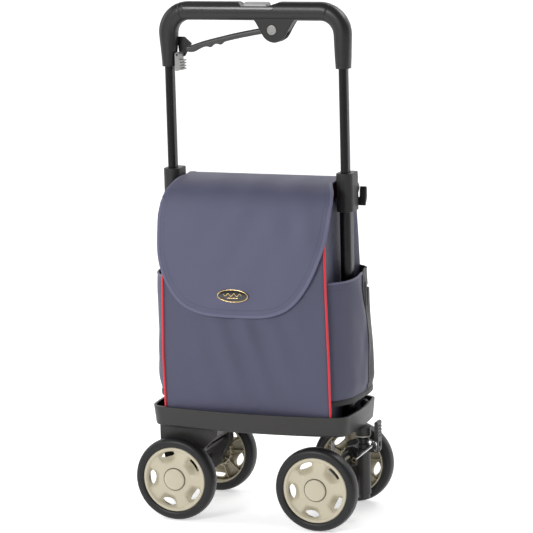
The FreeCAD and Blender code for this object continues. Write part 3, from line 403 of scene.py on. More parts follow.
def weave_group():
    """Plain weave on the piece's thread map: warp and weft as crossed waves, uneven threads, faint dust."""
    tree, given, out = group("plain_weave", [
        ("Colour", "Color", (0.05, 0.05, 0.05, 1)), ("Thread", "Float", 0.0005), ("Depth", "Float", 0.4),
        ("Mottle", "Float", 0.15)],
        [("Colour", "Color"), ("Roughness", "Float"), ("Height", "Float")])
    plus, minus, times, over = arithmetic(tree)
    where = node(tree, "UVMap", uv_map="thread").outputs[0]
    parts = node(tree, "SeparateXYZ", {0: where})
    turn = over(math.pi, given.outputs["Thread"])
    across = maths(tree, "SINE", times(parts.outputs[0], turn))
    along = maths(tree, "SINE", times(parts.outputs[1], turn))
    checker = times(across, along)
    thread_noise = node(tree, "Mapping", {"Vector": where, "Scale": (900.0, 18.0, 1.0)}).outputs[0]
    slub = noise(tree, thread_noise, 1.0, 2.0)
    weft_noise = node(tree, "Mapping", {"Vector": where, "Scale": (18.0, 900.0, 1.0)}).outputs[0]
    weft = noise(tree, weft_noise, 1.0, 2.0)
    slow = noise(tree, node(tree, "TexCoord").outputs["Object"], 9.0, 5.0)
    uneven = minus(times(plus(slub, weft), 0.5), 0.5)
    shade = plus(times(checker, 0.05), times(uneven, 0.9))
    shade = plus(shade, minus(slow, 0.5))
    bright = plus(times(shade, given.outputs["Mottle"]), 1.0)
    tinted = node(tree, "VectorMath", {0: given.outputs["Colour"]}, operation="SCALE")
    tree.links.new(bright, tinted.inputs["Scale"])
    tree.links.new(tinted.outputs[0], out.inputs["Colour"])
    tree.links.new(plus(times(slow, 0.18), 0.46), out.inputs["Roughness"])
    height = times(plus(checker, times(uneven, 1.5)),
                   given.outputs["Depth"])
    tree.links.new(height, out.inputs["Height"])
    return tree


def stitch_group():
    """A row of stitches at a set distance from an edge, on the seam map (distance along, distance in)."""
    tree, given, out = group("stitch_row", [
        ("Inset", "Float", 0.0105), ("Pitch", "Float", 0.0032)],
        [("Mask", "Float"), ("Height", "Float")])
    plus, minus, times, over = arithmetic(tree)
    parts = node(tree, "SeparateXYZ", {0: node(tree, "UVMap", uv_map="seam").outputs[0]})
    off = maths(tree, "ABSOLUTE", minus(parts.outputs[1], given.outputs["Inset"]))
    line = ramp(tree, off, 0.00055, 0.00025, 0.0, 1.0)
    step = maths(tree, "FRACT", over(parts.outputs[0], given.outputs["Pitch"]))
    dash = ramp(tree, maths(tree, "ABSOLUTE", minus(step, 0.5)), 0.42, 0.34, 0.0, 1.0)
    mask = times(line, dash)
    tree.links.new(mask, out.inputs["Mask"])
    furrow = ramp(tree, off, 0.0, 0.0016, -1.0, 0.0)
    tree.links.new(plus(times(mask, 1.6), furrow), out.inputs["Height"])
    return tree


GROUPS = {}


def shared(name):
    """A node group, made when it is first needed."""
    makers = {"moulded": moulded_group, "weave": weave_group, "stitch": stitch_group}
    if name not in GROUPS:
        GROUPS[name] = makers[name]()
    return GROUPS[name]


MADE = {}


def blank(name):
    """A new material: its tree and its Principled shader."""
    material = bpy.data.materials.new(name)
    material.use_nodes = True
    MADE[name] = material
    return material, material.node_tree, material.node_tree.nodes["Principled BSDF"]


def moulding(name, colour, roughness=0.5, grain=900.0, depth=0.12, mottle=0.12, metallic=0.0, coat=0.0,
             specular=0.5):
    """A moulded, cast or painted finish on Object coordinates."""
    if name in MADE:
        return MADE[name]
    material, tree, shader = blank(name)
    use = node(tree, "Group", node_tree=shared("moulded"))
    for key, value in (("Colour", (*colour, 1)), ("Roughness", roughness), ("Grain", grain), ("Depth", depth),
                       ("Mottle", mottle)):
        use.inputs[key].default_value = value
    tree.links.new(use.outputs["Colour"], shader.inputs["Base Color"])
    tree.links.new(use.outputs["Roughness"], shader.inputs["Roughness"])
    tree.links.new(use.outputs["Normal"], shader.inputs["Normal"])
    shader.inputs["Metallic"].default_value = metallic
    shader.inputs["Coat Weight"].default_value = coat
    shader.inputs["Specular IOR Level"].default_value = specular
    return material


def cloth(name, colour, depth=0.5, mottle=0.16, sheen=0.06, insets=(), thread=None, stitch_colour=None):
    """Woven polyester on the thread map, with stitch rows at the given distances from the edge."""
    if name in MADE:
        return MADE[name]
    sizes = bpy.context.scene.trolley_sizes
    material, tree, shader = blank(name)
    use = node(tree, "Group", node_tree=shared("weave"))
    for key, value in (("Colour", (*colour, 1)), ("Thread", thread or sizes.thread), ("Depth", depth),
                       ("Mottle", mottle)):
        use.inputs[key].default_value = value
    shade, height = use.outputs["Colour"], use.outputs["Height"]
    for inset in insets:
        row = node(tree, "Group", node_tree=shared("stitch"))
        row.inputs["Inset"].default_value = inset
        thread_colour = stitch_colour or tuple(c * 0.62 for c in colour)
        shade = mix_colour(tree, row.outputs["Mask"], shade, (*thread_colour, 1))
        height = maths(tree, "ADD", height, maths(tree, "MULTIPLY", row.outputs["Height"], 1.4))
    bump = node(tree, "Bump", {"Height": height, "Strength": 0.55, "Distance": 0.0003})
    tree.links.new(shade, shader.inputs["Base Color"])
    tree.links.new(use.outputs["Roughness"], shader.inputs["Roughness"])
    tree.links.new(bump.outputs[0], shader.inputs["Normal"])
    shader.inputs["Sheen Weight"].default_value = sheen
    shader.inputs["Sheen Roughness"].default_value = 0.45
    shader.inputs["Specular IOR Level"].default_value = 0.35
    return material


def finishes():
    """Material of each slot of the record, for the CAD nodes that stay in view."""
    colours = bpy.context.scene.trolley_colours
    black = tuple(colours.plastic)
    return {
        "tray_plastic": moulding("tray_moulding", (0.022, 0.021, 0.020), 0.38, 1300.0, 0.16, 0.10,
                                 specular=0.42),
        "sheet_steel": moulding("black_sheet", (0.012, 0.012, 0.012), 0.40, 700.0, 0.08, 0.2, 0.3),
        "bright_steel": moulding("bright_steel", (0.55, 0.55, 0.54), 0.28, 1500.0, 0.10, 0.15, 1.0),
        "chrome": moulding("chrome", (0.78, 0.78, 0.78), 0.10, 800.0, 0.02, 0.05, 1.0),
        "washer_plastic": moulding("washer_plastic", (0.55, 0.53, 0.46), 0.4),
        "post_paint": moulding("post_paint", (0.0035, 0.0035, 0.0035), 0.30, 1600.0, 0.05, 0.08,
                               specular=0.30),
        "collar_plastic": moulding("collar_moulding", (0.017, 0.017, 0.017), 0.42, 1200.0, 0.14,
                                   specular=0.35),
        "grip_plastic": moulding("grip_moulding", (0.013, 0.0125, 0.012), 0.36, 1400.0, 0.10, 0.08,
                                 specular=0.40),
        "inlay_rubber": moulding("grip_inlay", (0.020, 0.020, 0.019), 0.24, 1600.0, 0.04, 0.08, specular=0.5),
        "button_plastic": moulding("button_grey", (0.36, 0.36, 0.36), 0.38, 1200.0, 0.08, 0.06),
        "lever_paint": moulding("lever_paint", (0.038, 0.037, 0.036), 0.34, 1400.0, 0.08, 0.1, 0.1),
        "rivet_steel": moulding("rivet_steel", (0.32, 0.31, 0.30), 0.30, 900.0, 0.10, 0.2, 0.9),
        "latch_plastic": moulding("latch_grey", (0.27, 0.27, 0.265), 0.34, 1200.0, 0.08, 0.1, 0.3),
        "rim_plastic": moulding("rim_moulding", tuple(colours.rim), 0.34, 1100.0, 0.05, 0.05),
        "tyre": moulding("tyre_rubber", (0.011, 0.011, 0.012), 0.42, 1000.0, 0.16, 0.16, specular=0.35),
        "board": moulding("board", black, 0.6),
        "badge_metal": moulding("badge_black", (0.012, 0.012, 0.014), 0.22, 900.0, 0.03, 0.05, 0.2, 0.6),
        "zip_metal": moulding("zip_metal", (0.72, 0.70, 0.64), 0.22, 900.0, 0.05, 0.1, 1.0),
        "zip_tongue": moulding("zip_tongue", black, 0.45),
        "bag_fabric": cloth("bag_cloth", tuple(colours.bag)),
        "flap_fabric": cloth("flap_cloth", tuple(colours.flap), insets=(0.0105,)),
        "gusset_fabric": cloth("gusset_cloth", (0.016, 0.016, 0.018), 0.8, 0.3, 0.15, insets=(0.004,)),
        "zip_tape": cloth("zip_tape", (0.012, 0.012, 0.013), 0.8),
    }


# ---------------------------------------------------------------- wheels

WINDOWS = 5
WINDOW_TURNS = {"rear_near": 108.0, "front_near": 115.0, "rear_far": 125.0, "front_far": 128.0}
WINDOW_R = 0.0458               # middle of a window
LIP = -0.0124                   # outermost face of the rim, from the wheel's middle plane
FACE = -0.0098                  # face of the web
CAP_R = 0.0192
BACK = 0.0135                   # inner end of the hub


def on_wheel(points, wheel):
    """Wheel-local points (axle along Y, outer face at -Y) put on a wheel; the far ones face +Y."""
    flip = 1 if wheel.endswith("near") else -1
    return points * np.array([1, flip, 1]) + np.array(middle("tyre_" + wheel))


def make_tyre(wheel):
    """Tyre: a lathe of its closed section, a full round tread over straight sidewalls.

    The section is x = R - d, with d from 0 at the tread to the tyre's depth at the rim.
    """
    half = TYRE_HALF
    side = [(RIM_R - 0.0006, 0.62), (RIM_R + 0.0004, 0.74), (RIM_R + 0.0006, 0.84), (RIM_R + 0.0022, 0.93),
            (RIM_R + 0.0055, 0.99), (WHEEL_R - 0.0055, 0.93), (WHEEL_R - 0.0022, 0.74),
            (WHEEL_R - 0.0006, 0.42), (WHEEL_R, 0.0)]
    side = [(r, k * half) for r, k in side]
    section = side + [(r, -y) for r, y in reversed(side[:-1])]
    line = curve(section, 64)
    return add("tyre_rubber_" + wheel, on_wheel(lathe(line), wheel), "wheel_" + wheel, "tyre",
               "tyre_rubber", "tyre_" + wheel, **LOOP)


def window_lens(theta, centre, half=math.radians(15.5)):
    """Angle to the closest window's middle, and the lens's height there as a share of its full height."""
    step = 2 * math.pi / WINDOWS
    off = (theta - centre + step / 2) % step - step / 2
    return off, np.sqrt(np.clip(1 - (off / half) ** 2, 0, 1))


def rim_depth(r, off):
    """How far the rim's face lies behind its lip: a step inside the lip, a shallow dish and five scoops.

    scoop = 12 mm * S(r; 28.5, 41.5) * (1 - S(r; 48.5, 52)) * cos(90 * off / 25)^1.2, S is a smoothstep.
    """
    step = (FACE - LIP) * (1 - smooth(0.0520, 0.0540, r))
    dish = 0.0010 * smooth(CAP_R, 0.040, r) * (1 - smooth(0.049, 0.0525, r))
    around = np.cos(np.clip(off / math.radians(25), -1, 1) * math.pi / 2) ** 1.2
    scoop = 0.0120 * smooth(0.0285, 0.0415, r) * (1 - smooth(0.0485, 0.0520, r)) * around
    lip = 0.0010 * smooth(0.0572, RIM_R, r)
    return step + dish + scoop + lip


def make_rim(wheel):
    """Rim: polar grids inside and outside the five windows, which share their edge between windows.

    Window edge: r = 45.8 mm -+ h * sqrt(1 - (off / 15.5)^2). The outer grid runs on as the barrel. Behind
    the web are the hub, ten ribs and the brake's toothed ring.
    """
    sizes = bpy.context.scene.trolley_sizes
    theta = np.linspace(0, 2 * math.pi, 360, endpoint=False)
    off, lens = window_lens(theta, math.radians(WINDOW_TURNS[wheel]))
    gap = sizes.window * lens
    low, high = WINDOW_R - gap, WINDOW_R + gap

    def ring(r):
        y = LIP + rim_depth(r, off[None])
        return np.stack([r * np.cos(theta), y, r * np.sin(theta)], -1)

    rows = np.linspace(0, 1, 22)[:, None]
    inner = ring(0.012 + (low[None] - 0.012) * rows)
    rows = np.linspace(0, 1, 16)[:, None]
    outer = ring(high[None] + (RIM_R - high[None]) * rows)
    barrel_y = np.linspace(LIP + 0.0012, -LIP, 6)[1:]
    barrel = np.stack(np.broadcast_arrays(RIM_R * np.cos(theta), barrel_y[:, None],
                                          RIM_R * np.sin(theta)), -1)
    shell, behind = Build(), on_wheel(np.array([0, 0.05, 0]), wheel)
    shell.grid(on_wheel(inner, wheel), wrap_cols=True, inside=behind)
    shell.grid(on_wheel(np.concatenate([outer, barrel]), wheel), wrap_cols=True,
               inside=on_wheel(np.array([0, 0.012, 0]), wheel))
    piece = shell.finish("rim_face_" + wheel, weld=1e-6)
    thicken(piece, 0.0026)
    place(piece, "wheel_" + wheel, "rim_plastic", MADE["rim_moulding"], "rim_" + wheel)

    back = Build()
    hub = [(0.0062, BACK), (0.0132, BACK), (0.0140, BACK - 0.0008), (0.0152, FACE + 0.003),
           (0.0062, FACE + 0.003)]
    back.grid(on_wheel(lathe(hub, 96), wheel), **LOOP)
    teeth = np.clip(2.4 * np.cos(20 * theta), -1, 1) * 0.0011 + 0.0279
    web = FACE + 0.0032
    wall = np.stack([np.broadcast_to(0.0252, 360), teeth, teeth, np.broadcast_to(0.0252, 360)])
    heights = np.array([web, web, 0.0042, 0.0042])[:, None] + 0 * theta
    back.grid(on_wheel(np.stack([wall * np.cos(theta), heights, wall * np.sin(theta)], -1), wheel), **LOOP)
    start, spokes = math.radians(WINDOW_TURNS[wheel]), np.arange(WINDOWS) * 360 / WINDOWS
    for turn in start + np.radians(np.concatenate([spokes + 22, spokes - 22])):
        for r0, r1 in ((0.0135, 0.0258), (0.0280, 0.0562)):
            corner = np.array([[r, s * 0.0008] for r, s in ((r0, -1), (r1, -1), (r1, 1), (r0, 1))])
            x = corner[:, 0] * math.cos(turn) - corner[:, 1] * math.sin(turn)
            z = corner[:, 0] * math.sin(turn) + corner[:, 1] * math.cos(turn)
            box = np.stack([np.stack([x, np.full(4, y), z], -1) for y in (web - 0.0015, 0.0012)])
            back.grid(on_wheel(box, wheel), **TUBE)
    piece = back.finish("rim_back_" + wheel, sharp=35)
    place(piece, "wheel_" + wheel, "rim_plastic", MADE["rim_moulding"])

    dome = curve([(0.0001, -0.0140), (0.008, -0.01385), (0.015, -0.0133), (0.0182, -0.0125),
                  (CAP_R, -0.0113), (CAP_R, -0.0090)], 30)
    add("cap_face_" + wheel, on_wheel(lathe(dome, 96), wheel), "wheel_" + wheel, "rim_plastic",
        "rim_moulding", "hub_cap_" + wheel, sharp=50, wrap_cols=True, caps="first", inside=behind)
    # The ring in the groove round the cap takes the dark groove moulding: painted shade in the groove.
    line = [(CAP_R - 0.0002, FACE + 0.002), (CAP_R - 0.0002, FACE - 0.0004), (CAP_R + 0.0017, FACE - 0.0003),
            (CAP_R + 0.0017, FACE + 0.002)]
    return add("cap_groove_" + wheel, on_wheel(lathe(line, 96), wheel), "wheel_" + wheel, "rim_plastic",
               "groove", **LOOP)


# ---------------------------------------------------------------- bag

BAG_FOOT, BAG_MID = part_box("bag_body")[0].z, 0.420
NEAR_TOP, FAR_TOP = 0.548, 0.597
BAG_ROWS = np.array([BAG_FOOT, 0.200, 0.300, BAG_MID, 0.500, 0.600])


def bag_level(z):
    """Half widths and depths of the bag at a height: near corner, post recess, far corner, near y, far y."""
    table = np.array([[0.1545, 0.1500, 0.1570, 0.0800, 0.0800], [0.1565, 0.1500, 0.1600, 0.0850, 0.0815],
                      [0.1565, 0.1495, 0.1615, 0.0885, 0.0830], [0.1535, 0.1480, 0.1610, 0.0885, 0.0830],
                      [0.1515, 0.1455, 0.1585, 0.0860, 0.0820], [0.1500, 0.1430, 0.1540, 0.0820, 0.0810]])
    return [np.interp(z, BAG_ROWS, table[:, k]) for k in range(5)]


def ring_smooth(points, width):
    """Smooths closed rows of points with a Gaussian of the given width in points."""
    count = points.shape[1]
    wave = np.fft.fftfreq(count)[None, :, None]
    return np.fft.ifft(np.fft.fft(points, axis=1) * np.exp(-2 * (math.pi * wave * width) ** 2), axis=1).real


def bag_outline(z):
    """Closed outlines of the bag at heights z: straight runs between eight corners, rounded by smoothing."""
    near, side, far, y0, y1 = bag_level(z)
    post = 0.026 + 0 * z
    half = [np.stack(xy, -1) for xy in ((near, -y0), (side, -post), (side, post), (far, y1))]
    corner = np.stack(half + [xy * [-1, 1] for xy in reversed(half)], 1)
    runs = (16, 14, 16, 74, 16, 14, 16, 74)
    step = np.roll(corner, -1, 1) - corner
    parts = [corner[:, k:k + 1] + step[:, k:k + 1] * np.arange(n)[None, :, None] / n
             for k, n in enumerate(runs)]
    return ring_smooth(np.concatenate(parts, 1), 1.1)


def creases(x, z, seed, size):
    """Soft creases: a sum of seeded, slanted ripples that fade in and out."""
    random = np.random.default_rng(seed)
    total = 0 * x
    for _ in range(9):
        angle, wave = random.uniform(-0.9, 0.9), random.uniform(0.045, 0.16)
        cx, cz, reach = random.uniform(-0.15, 0.15), random.uniform(0.18, 0.60), random.uniform(0.04, 0.11)
        phase = random.uniform(0, 6.28)
        run = (x * math.cos(angle) + z * math.sin(angle)) * 2 * math.pi / wave
        total = total + np.exp(-((x - cx) ** 2 + (z - cz) ** 2) / (2 * reach ** 2)) * np.sin(run + phase)
    return total * size


def make_bag():
    """Bag: outlines lofted from the floor's middle out to the foot and up to the sloping mouth.

    The near panel bows by 3.5 mm * (1 - (x / 150)^2) and carries the creases; the mouth is the plane from
    NEAR_TOP at the near side to FAR_TOP at the far side.
    """
    sizes = bpy.context.scene.trolley_sizes
    v = np.linspace(0, 1, 90)
    flat = bag_outline(np.full(1, BAG_FOOT))[0]
    mouth = NEAR_TOP + (FAR_TOP - NEAR_TOP) * np.clip((flat[:, 1] + 0.083) / 0.164, 0, 1)
    z = BAG_FOOT + v[:, None] * (mouth - BAG_FOOT)[None]
    level = np.linspace(BAG_FOOT, 0.600, 120)
    loft = bag_outline(level)
    x = np.stack([np.interp(z[:, k], level, loft[:, k, 0]) for k in range(z.shape[1])], 1)
    y = np.stack([np.interp(z[:, k], level, loft[:, k, 1]) for k in range(z.shape[1])], 1)
    near = smooth(-0.070, -0.079, y) * np.clip(1 - (x / 0.150) ** 2, 0, 1)
    fade = smooth(0, 0.12, v)[:, None]
    y = y - near * fade * (0.0035 + creases(x, z, 5, sizes.wrinkle))
    far = smooth(0.070, 0.078, y) * np.clip(1 - (x / 0.150) ** 2, 0, 1)
    y = y + far * fade * (0.0015 + creases(x, z, 9, sizes.wrinkle))
    wall = np.stack([x, y, z], -1)
    shrink = np.array([0.02, 0.25, 0.5, 0.75, 0.95])[:, None, None]
    floor = wall[:1] * np.array([1, 1, 0]) * shrink + np.array([0, 0, BAG_FOOT])
    around = lengths(np.concatenate([flat, flat[:1]]))[:-1]
    uv_wall = np.stack([np.broadcast_to(around, z.shape), z], -1)
    uv_floor = floor[..., :2]
    grid = np.concatenate([floor, wall])
    build = Build().grid(grid, wrap_cols=True, caps="first", inside=(0, 0, 0.35),
                         uv=np.concatenate([uv_floor, uv_wall]))
    piece = build.finish("bag_cloth")
    thicken(piece, sizes.cloth, lining=True)
    place(piece, "chassis", "bag_fabric", [MADE["bag_cloth"], MADE["lining"]], "bag_body")
    return bake(piece)


def bag_corner(z, side):
    """Where the bag's near corner is at heights z."""
    near, _, _, y0, _ = bag_level(z)
    return np.stack([side * (near - 0.0006), -(y0 - 0.0004), z], -1)


def make_piping():
    """Red piping down both near corners: a round section swept along the corner."""
    sizes = bpy.context.scene.trolley_sizes
    for name, side in ENDS:
        path = bag_corner(np.linspace(BAG_FOOT + 0.004, NEAR_TOP - 0.004, 120), side)
        _, across, lift = frame_along(path, (side, -1, 0))
        tube = sweep(path, across, lift, oval(14, sizes.piping, sizes.piping))
        add("piping_" + name, tube, "chassis", "bag_fabric", "piping", **TUBE)


# ---------------------------------------------------------------- flap

FLAP_PATH = [(0.0800, 0.6010), (0.0500, 0.6055), (0.0150, 0.6095), (-0.0200, 0.6085), (-0.0480, 0.6035),
             (-0.0700, 0.5930), (-0.0845, 0.5760), (-0.0915, 0.5520), (-0.0942, 0.5200), (-0.0955, 0.4800),
             (-0.0962, 0.4300), (-0.0972, 0.3740)]
FLAP_FOOT_LINE = [(0, 375.6), (30, 376.2), (58, 378.5), (80, 384.5), (97, 393), (112, 406.5), (125, 423.5),
                  (135, 441.5), (143, 462), (149.5, 485), (154, 509), (156.8, 536), (157.5, 548)]
FLAP_HALF = 0.1575
FLAP_HALF_AT = [(0.000, 0.1560), (0.030, 0.1500), (0.052, 0.1440), (0.105, 0.1440), (0.128, 0.1480),
                (0.150, 0.1540), (0.175, 0.1570), (0.200, 0.1575), (0.600, 0.1575)]
FLAP_SKEW_AT = [(0.000, 0.0), (0.105, 0.0), (0.140, 0.0060), (0.170, 0.0070), (0.200, 0.0030),
                (0.240, -0.0020), (0.280, -0.0075), (0.320, -0.0120), (0.380, -0.0150)]


def flap_surface(run, x):
    """Point of the flap at a distance run from its hinge edge and an offset x from its middle.

    The path is FLAP_PATH; towards the sides the top sags, as cloth does between its seams.
    """
    path = curve(FLAP_PATH, 600)
    along = lengths(path)
    y, z = np.interp(run, along, path[:, 0]), np.interp(run, along, path[:, 1])
    tangent = np.gradient(path, along, axis=0)
    ny = np.interp(run, along, tangent[:, 1])
    nz = np.interp(run, along, -tangent[:, 0])
    share = np.abs(x) / FLAP_HALF
    skew = np.array(FLAP_SKEW_AT)
    shift = np.interp(run, skew[:, 0], skew[:, 1])
    round_over = 0.0050 * np.clip(share, 0, 1) ** 4
    sizes = bpy.context.scene.trolley_sizes
    soft = creases(x, z + 0.02 * (y + 0.09), 12, sizes.wrinkle * 0.9) * smooth(0.02, 0.08, run)
    push = soft - round_over * smooth(0.03, 0.07, run) * (1 - smooth(0.23, 0.30, run))
    return np.stack([x + shift, y + ny * push, z + nz * push], -1)


def make_flap():
    """Flap: columns run from the hinge edge down to the foot line, x = u * half width at that distance.

    u = sin(t) packs the columns towards the sides, where the foot line is steep.
    """
    sizes = bpy.context.scene.trolley_sizes
    path = curve(FLAP_PATH, 600)
    along = lengths(path)
    table = np.array(FLAP_HALF_AT)
    half_line = np.array(FLAP_FOOT_LINE) * MM
    foot = curve(np.concatenate([half_line[:0:-1] * [-1, 1], half_line]), 900)
    u = np.sin(np.linspace(-math.pi / 2, math.pi / 2, 121))
    x_end = u * FLAP_HALF
    z_end = np.interp(x_end, foot[:, 0], foot[:, 1])
    order = np.argsort(path[300:, 1])
    run_end = np.interp(z_end, path[300:, 1][order], along[300:][order])
    t = np.linspace(0, 1, 110)[:, None]
    run = t * run_end[None]
    half = np.interp(run, table[:, 0], table[:, 1])
    half = np.apply_along_axis(running_mean, 0, half, 9)
    x = u[None] * half
    grid = flap_surface(run, x)
    ring = np.concatenate([grid[:, 0], grid[-1, 1:], grid[::-1, -1][1:], grid[0, ::-1][1:-1]])
    line = resample(ring[:-1], 1500)
    from_edge, at = edge_distance(grid.reshape(-1, 3), line)
    seam = np.stack([at, from_edge], -1)
    build = Build().grid(grid, inside=(0, 0.03, 0.40), uv=np.stack([x, run], -1))
    piece = build.finish("flap_cloth", extra_uv={"seam": seam})
    thicken(piece, sizes.cloth, lining=True)
    place(piece, "cover", "flap_fabric", [MADE["flap_cloth"], MADE["lining"]], "flap")
    bake(piece)

    edge = resample(np.concatenate([grid[:, 0], grid[-1, 1:], grid[::-1, -1][1:]]), 620)
    normals = surface_normals(grid)
    normal_at = nearest_rows(edge, grid.reshape(-1, 3), normals.reshape(-1, 3))
    tangent = unit(np.gradient(edge, axis=0))
    normal_at = unit(normal_at - (normal_at * tangent).sum(-1, keepdims=True) * tangent)
    across = np.cross(tangent, normal_at)
    centre = edge - normal_at * sizes.cloth * 0.5
    tape = sweep(centre, across, normal_at, oval(18, sizes.binding, 0.0013, 3.0))
    uv = np.stack(np.broadcast_arrays(lengths(edge)[:, None], np.linspace(0, 0.014, 18)[None]), -1)
    # The tape takes the lighter binding cloth, a painted highlight along the flap's edge.
    binding = add("flap_binding", tape, "cover", "flap_fabric", "binding_cloth_painted_highlight", uv=uv, **TUBE)
    for part in (piece, binding):
        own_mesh(part)
    return piece


def edge_distance(points, line):
    """Distance from each point to a line of points, and how far along the line that is."""
    run = lengths(line)
    best, at = np.empty(len(points)), np.empty(len(points))
    for start in range(0, len(points), 2000):
        block = points[start:start + 2000]
        gap = np.linalg.norm(block[:, None] - line[None], axis=-1)
        near = gap.argmin(1)
        best[start:start + 2000], at[start:start + 2000] = gap[np.arange(len(block)), near], run[near]
    return best, at


def nearest_rows(points, others, values):
    """The value of the closest other point, for each point."""
    gap = np.stack([np.linalg.norm(others - p, axis=-1).argmin() for p in points])
    return values[gap]


def surface_normals(grid):
    """Normals of a grid surface, turned to point up or towards -Y."""
    normal = unit(np.cross(np.gradient(grid, axis=0), np.gradient(grid, axis=1)))
    flip = np.sign((normal * np.array([0, -1.0, 1.0])).sum(-1, keepdims=True))
    return normal * flip


def make_badge():
    """Badge: a low black dome in a gold rim, with a plain wave and two dots in gold.

    Dome: y = face - 1.9 mm * sqrt(1 - 0.9 r^2) on an ellipse of the badge's half axes.
    """
    low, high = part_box("badge")
    a, b = (high.x - low.x) / 2, (high.z - low.z) / 2
    centre = np.array([(low.x + high.x) / 2, 0, (low.z + high.z) / 2])
    back = -0.0968
    t = np.linspace(0, 2 * math.pi, 72, endpoint=False)
    r = np.linspace(0.01, 1, 14)[:, None]
    face = back - 0.0006 - 0.0019 * np.sqrt(1 - 0.9 * r ** 2) + 0 * t
    dome = np.stack([centre[0] + a * r * np.cos(t), face, centre[2] + b * r * np.sin(t)], -1)
    skirt = dome[-1:] * np.array([1, 0, 1]) + np.array([0, back + 0.0012, 0])
    add("badge_dome", np.concatenate([dome, skirt]), "cover", "badge_metal", "badge_black", "badge",
        sharp=50, **TUBE)
    gold = Build()
    path = np.stack([centre[0] + (a - 0.0012) * np.cos(t), np.full(72, back - 0.0016),
                     centre[2] + (b - 0.0012) * np.sin(t)], -1)
    out = unit(np.stack([b * np.cos(t), 0 * t, a * np.sin(t)], -1))
    gold.grid(sweep(path, out, np.broadcast_to([0.0, 1.0, 0.0], out.shape), oval(8, 0.00075, 0.0005)), **LOOP)
    for dz, length, rise in ((0.0018, 0.017, 0.0022), (-0.0040, 0.010, 0.0)):
        s = np.linspace(-1, 1, 60)
        height = centre[2] + dz + rise * np.sin(3.1 * math.pi * s)
        wave = np.stack([centre[0] + length * s, 0 * s, height], -1)
        radius = ((wave[:, 0] - centre[0]) / a) ** 2 + ((wave[:, 2] - centre[2]) / b) ** 2
        wave[:, 1] = back - 0.0007 - 0.0019 * np.sqrt(1 - 0.9 * radius)
        _, across, lift = frame_along(wave, (0, -1, 0))
        gold.grid(sweep(wave, across, lift, oval(6, 0.00065, 0.00035)), **TUBE)
    return place(gold.finish("badge_gold"), "cover", "badge_metal", MADE["gold"])


# ---------------------------------------------------------------- side pockets

POCKET_TOP_LINE = [(0.1520, -0.0790), (0.1610, -0.0735), (0.1725, -0.0600), (0.1810, -0.0430),
                   (0.1850, -0.0250), (0.1868, -0.0080), (0.1860, 0.0080), (0.1838, 0.0260),
                   (0.1790, 0.0480), (0.1730, 0.0690), (0.1590, 0.0810)]
POCKET_FOOT_LINE = [(0.1530, -0.0790), (0.1630, -0.0730), (0.1750, -0.0590), (0.1840, -0.0400),
                    (0.1880, -0.0220), (0.1898, -0.0020), (0.1900, 0.0170), (0.1905, 0.0420),
                    (0.1890, 0.0640), (0.1800, 0.0790), (0.1590, 0.0835)]
POCKET_TOP_Z, POCKET_FOOT_Z = 0.4385, 0.2200


def pocket_line(share):
    """The pocket's outline at a share of its height; the far corner flares towards the foot, share 0."""
    flare = (1 - share) ** 0.8
    return curve(np.array(POCKET_TOP_LINE) * (1 - flare) + np.array(POCKET_FOOT_LINE) * flare, 141)


def pocket_rows(side, first, last, rows=60):
    """A pocket wall between two columns: its lines swell by 2 mm half way up and draw in at the foot."""
    share = np.linspace(0, 1, rows)
    line = np.stack([pocket_line(v) for v in share])[:, first:last + 1]
    v = share[:, None]
    z = POCKET_FOOT_Z + (POCKET_TOP_Z - POCKET_FOOT_Z) * v + 0 * line[..., 0]
    weight = np.clip((line[..., 0] - 0.151) / 0.036, 0, 1)
    out = 0.0016 * np.sin(math.pi * v) - 0.0060 * (1 - smooth(0, 0.14, v))
    x = line[..., 0] + (out + creases(line[..., 1] * 1.6, z, 21 if side > 0 else 33, 0.0011)) * weight
    rise = 0.0045 * smooth(-0.06, 0.05, line[..., 1]) - 0.0020
    return np.stack([side * x, line[..., 1], z + rise * v ** 3], -1)


def outwards(rows):
    """Outward directions of a wall's rows, level with the floor."""
    step = np.gradient(rows, axis=-2)
    out = unit(np.stack([step[..., 1], -step[..., 0], 0 * step[..., 0]], -1))
    return out * np.sign((out[..., 0] * rows[..., 0]).sum())


